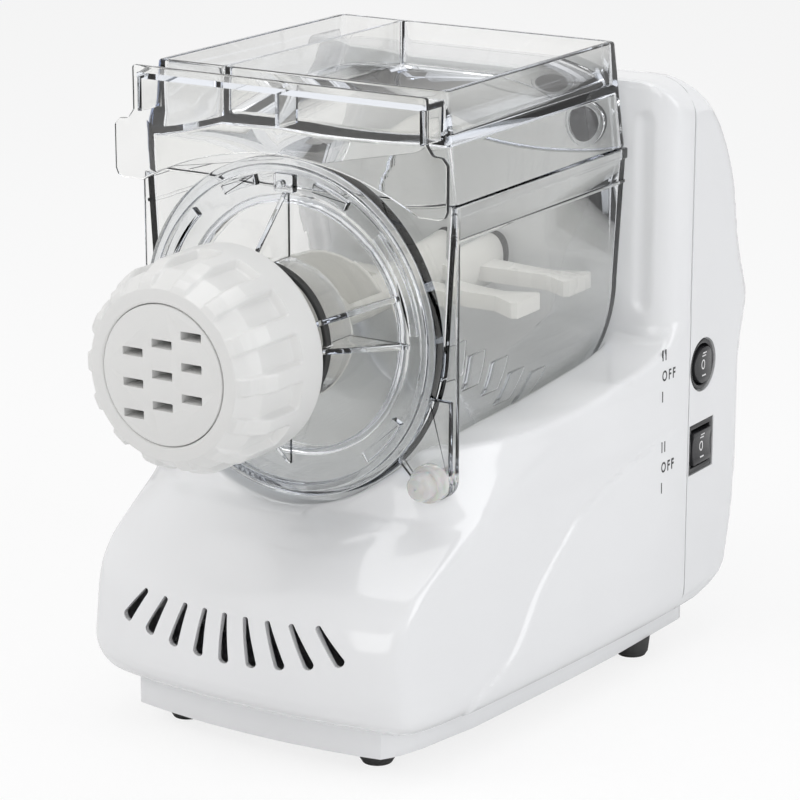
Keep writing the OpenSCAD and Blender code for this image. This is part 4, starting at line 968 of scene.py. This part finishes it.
def fineLoop(points, longest):
    # cuts the long edges of a closed outline where the pockets are
    loop = []
    for a, b in zip(points, points[1:] + points[:1]):
        a, b = Vector(a), Vector(b)
        outside = (a + b).x / 2 > 41.3 or ((a + b).y / 2 < grip["front"] + 11 and (a + b).x / 2 > grip["dieR"] + 5)
        count = max(1, math.ceil((b - a).length / longest)) if outside else 1
        loop += [tuple(a.lerp(b, k / count)) for k in range(count)]
    return loop


def ringSector(loop):
    # one grip pocket with half a lug on each side; the pocket's floor falls away to the front
    g = grip
    r, y = np.array(loop).T
    low, front = g["radius"] - 3.4, g["front"]
    floorAt = (front - 1, front + 5.8, front + 10.8, -110)
    floor = np.interp(y, floorAt, (g["radius"] - 9.8, g["radius"] - 5.8, low, low))
    back = np.clip((g["pocketBack"] - y) / 2.4, 0, 1)
    sink = np.maximum(r - floor, 0) * back * back * (3 - 2 * back)
    half = math.pi / g["lugs"]
    points = []
    top, foot = g["pocket"] / 2 + 2, g["pocket"] / 2 + 0.3
    stretches = ((0, foot, 5), (foot, top, 8), (top, half * g["radius"], 4))
    right = np.concatenate([[0.0]] + [np.linspace(*stretch)[1:] for stretch in stretches])
    turns = np.concatenate([-right[:0:-1], right]) / g["radius"]
    for turn in turns:
        wall = np.clip((top - np.abs(turn) * g["radius"]) / (top - foot), 0, 1)
        depth = r - sink * wall * wall * (3 - 2 * wall)
        points += [(d * math.sin(turn), at, d * math.cos(turn)) for d, at in zip(depth, y)]
    m = len(loop)
    faces = [(i * m + j, (i + 1) * m + j, (i + 1) * m + (j + 1) % m, i * m + (j + 1) % m)
             for i in range(len(turns) - 1) for j in range(m)]
    return newPiece("ringSector", points, faces)


def ringRule(tree, index, given):
    part = maths(tree, "DIVIDE", maths(tree, "ADD", index, 0.5), given["Count"])
    turn = maths(tree, "ADD", maths(tree, "MULTIPLY", part, 2 * math.pi), -math.pi / 2)
    return vector(tree, 0, 0, given["Height"]), vector(tree, 0, turn, 0), (1, 1, 1)


def makeRing():
    g = grip
    r, y = g["radius"], g["front"]
    section = [(r, g["back"]), (r, y + 16.8), (r - 2, y + 10.8), (r - 3.6, y + 8), (r - 4.6, y + 4),
               (r - 6.8, y + 1.2), (r - 9.5, y), (g["dieR"] + 0.3, y), (g["dieR"] + 0.3, y + 3.2), (31.07, y + 3.2),
               (31.07, g["back"] - 2), (35, g["back"] - 2), (35, y + 7.2), (r - 5, y + 11.2), (r - 4, g["back"])]
    sector = ringSector(fineLoop(rounded(section, 1.6, 4), 0.9))
    ring = spreadCopies("grippingRing", sector, g["lugs"], {"Height": axisZ * mm}, ringRule, "satinWhite")
    return smoothByAngle(welded(ring), 40)


def welded(piece):
    # neighbouring copies become one closed skin
    mesh = bmesh.new()
    mesh.from_mesh(piece.data)
    bmesh.ops.remove_doubles(mesh, verts=mesh.verts, dist=0.01 * mm)
    bmesh.ops.recalc_face_normals(mesh, faces=mesh.faces)
    mesh.to_mesh(piece.data)
    mesh.free()
    return piece


finishPiece(makeRing(), "satinWhite", "ring", ["retaining_ring"])


def makeDie():
    g, axis = grip, axisZ
    face = rod("dieFace", g["dieR"], g["front"], g["front"] + 4, 0, axis, 128, 0.5)
    join(face, rod("dieFlange", 30.8, g["front"] + 3.5, -153.3, 0, axis, 128, 0.4))
    for row in (-1, 0, 1):
        for column in (-1, 0, 1):
            x, z = column * 14.5, axis + row * 13 + 5 * column
            slot = rounded(rectangle(x - 5, x + 5, z - 1.8, z + 1.8), 0.5)
            cut(face, soft("slot", slot, g["front"] - 2, g["front"] + 20), facets=False)
    return smoothByAngle(roundEdges(face, 0.3, 2, 50), 40)


finishPiece(makeDie(), "satinWhite", "die", ["die"])


def makeThumbScrew(name, side):
    x, z, y = side * tub["earX"], tub["earZ"], -73.75
    knob = rod(name, 8.2, y - 7, y, x, z, 64, 1.4)
    dome = [(6.0, y - 6), (6.0, y - 10.5), (5.6, y - 12.4), (4.2, y - 14.2), (2.2, y - 15), (0.05, y - 15.1),
            (0.05, y - 6)]
    join(knob, lathe("dome", rounded(dome, 1.2), 64, x, z))
    join(knob, rod("stud", 3, y - 2, -62, x, z, 32, 0.4))
    return smoothByAngle(knob, 40)


for name, side, body in (("thumbScrewLeft", -1, "left_thumb_screw"), ("thumbScrewRight", 1, "right_thumb_screw")):
    finishPiece(makeThumbScrew(name, side), "milkyKnob", body, [body])

print("stage: softened pieces")


def softened(node, name, finishName, body, width, degrees=30, segments=2):
    # the solid's own form with rounded edges
    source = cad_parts[node]
    data = source.data.copy()
    data.transform(source.matrix_world)
    mesh = bmesh.new()
    mesh.from_mesh(data)
    bmesh.ops.remove_doubles(mesh, verts=mesh.verts, dist=0.002 * mm)
    bmesh.ops.dissolve_limit(mesh, angle_limit=math.radians(1), verts=mesh.verts, edges=mesh.edges)
    mesh.to_mesh(data)
    mesh.free()
    piece = placed(name, data)
    roundEdges(piece, width, segments, degrees)
    return finishPiece(smoothByAngle(piece, 40), finishName, body, [node])


# node, piece, finish, body, how round in millimetres, from which angle, in how many steps
for row in (("base_plate", "basePlate", "glossyWhite", "housing", 0.9, 40),
            ("rubber_feet", "rubberFeet", "softBlack", "housing", 0.7),
            ("base_screws", "baseScrews", "groundSteel", "housing", 0.2),
            ("cover_screws", "coverScrews", "groundSteel", "housing", 0.2),
            ("cord_gland", "cordGland", "softBlack", "housing", 0.5),
            ("round_switch_case", "roundSwitchCase", "glossBlack", "housing", 0.5),
            ("square_switch_case", "squareSwitchCase", "glossBlack", "housing", 0.5, 40, 3),
            ("round_rocker", "roundRocker", "glossBlack", "round_rocker", 0.35, 40),
            ("square_rocker", "squareRocker", "glossBlack", "square_rocker", 0.5, 40, 3)):
    softened(*row)

flight = {"back": -36, "front": -150, "pitch": 32, "tip": 27.8, "core": 9, "rim": 1.3, "root": 2.2, "steps": 44}


def makeFlight():
    # one turning blade, thinner at its rim, run round the core
    f, axis = flight, axisZ
    half = [(f["core"] - 1, f["root"]), (f["core"] + 2, f["root"] - 0.5), (f["tip"] - 1, f["rim"]),
            (f["tip"] - 0.3, f["rim"] * 0.7), (f["tip"], 0)]
    blade = half + [(r, -d) for r, d in reversed(half[:-1])]
    length = f["back"] - f["front"] - 2 * f["root"]
    count = int(f["steps"] * length / f["pitch"])
    rings = []
    for i in range(count + 1):
        y = f["back"] - f["root"] - length * i / count
        turn = 2 * math.pi * (f["back"] - y) / f["pitch"]
        rings.append([(r * math.cos(turn), y - d, axis + r * math.sin(turn)) for r, d in blade])
    return skin("flight", rings)


def makeScrew():
    # arms and hub keep the solid's form; core and blade in front of them are built anew
    f, axis = flight, axisZ
    piece = softened("kneading_screw", "kneadingScrew", "screwWhite", "screw", 0.8, 28)
    cut(piece, block("front", (-40, -170, 140), (40, f["back"] + 3, 226)))
    join(piece, rod("core", f["core"], f["front"], f["back"] + 4, 0, axis, 96, 0.8))
    join(piece, welded(makeFlight()))
    return smoothByAngle(piece, 40)


makeScrew()

print("stage: marks")

# words and signs: text, Y of the start, Z of the foot, height
legends = [(word, 75.5, top - 9.6 * i - 2.5, 5.0) for top in (150, 107) for i, word in enumerate(("II", "OFF", "I"))]
lettering = {"size": 1, "extrude": 0.08, "offset": 0.022, "space_character": 1.45}
narrow = 0.72
sign = {"rise": 5.0, "wide": 3.6, "line": 0.62, "gap": 1.5, "zero": (1.75, 2.35), "proud": 0.06, "sunk": 0.25}


def makeLegend(name, word, y0, z0, height):
    data = bpy.data.curves.new(name, "FONT")
    data.body = word
    for key, value in lettering.items():
        setattr(data, key, value)
    piece = placed(name, data)
    graph = bpy.context.evaluated_depsgraph_get()
    mesh = bpy.data.meshes.new_from_object(piece.evaluated_get(graph))
    bpy.data.objects.remove(piece)
    flat = np.array([v.co for v in mesh.vertices])
    across, up = flat[:, 0], flat[:, 1]
    tall = height / (up.max() - up.min())
    y = y0 + (across - across.min()) * tall * narrow
    z = z0 + (up - up.min()) * tall
    x = sideX(y, z) + np.where(flat[:, 2] > 0, sign["proud"], -sign["sunk"])
    for vertex, place in zip(mesh.vertices, np.stack([x, y, z], -1) * mm):
        vertex.co = place
    finishPiece(placed(name, mesh), "legendInk", "housing")


for index, legend in enumerate(legends):
    makeLegend("legend%d" % index, *legend)


def makeSigns(name, body, z0, half):
    # two bars, a nought and one bar, laid on the hollow face of the rocker
    k, y0 = sign, rearParts["switchY"]
    wide = k["wide"] / 2
    bars = [rectangle(y0 - wide, y0 + wide, z - k["line"] / 2, z + k["line"] / 2)
            for z in (k["rise"] - k["gap"] / 2, k["rise"] + k["gap"] / 2, -k["rise"])]
    a, b = k["zero"]
    turns = [2 * math.pi * i / 32 for i in range(32)]
    nought = [[(y0 + r * math.cos(t), q * math.sin(t)) for t in turns]
              for r, q in ((a, b), (a - k["line"], b - k["line"]))]
    top, pivot = rearParts["rockerTop"], rearParts["pivotX"]

    def face(z):
        return pivot + top + 3 * half - 0.8 - math.sqrt(9 * half * half - z * z)

    points, faces = [], []

    def prism(outer, inner=None):
        start, n = len(points), len(outer)
        for lift in (k["proud"], -k["sunk"]):
            for ring in (outer, inner) if inner else (outer,):
                points.extend((face(v) + lift, u, z0 + v) for u, v in ring)
        if inner:
            for i in range(n):
                j = (i + 1) % n
                a0, a1, b0, b1 = start + i, start + j, start + n + i, start + n + j
                c0, c1, d0, d1 = (q + 2 * n for q in (a0, a1, b0, b1))
                faces.extend([(a0, a1, b1, b0), (c0, c1, a1, a0), (b0, b1, d1, d0), (d0, d1, c1, c0)])
        else:
            faces.append(tuple(start + i for i in range(n)))
            faces.append(tuple(start + n + i for i in reversed(range(n))))
            faces.extend((start + i, start + n + i, start + n + (i + 1) % n, start + (i + 1) % n) for i in range(n))

    for bar in bars:
        prism(bar)
    prism(*nought)
    return finishPiece(newPiece(name, points, faces), "markWhite", body)


makeSigns("roundSigns", "round_rocker", rearParts["roundZ"], 8.3)  # half the height of the rocker's face
makeSigns("squareSigns", "square_rocker", rearParts["squareZ"], 7.65)
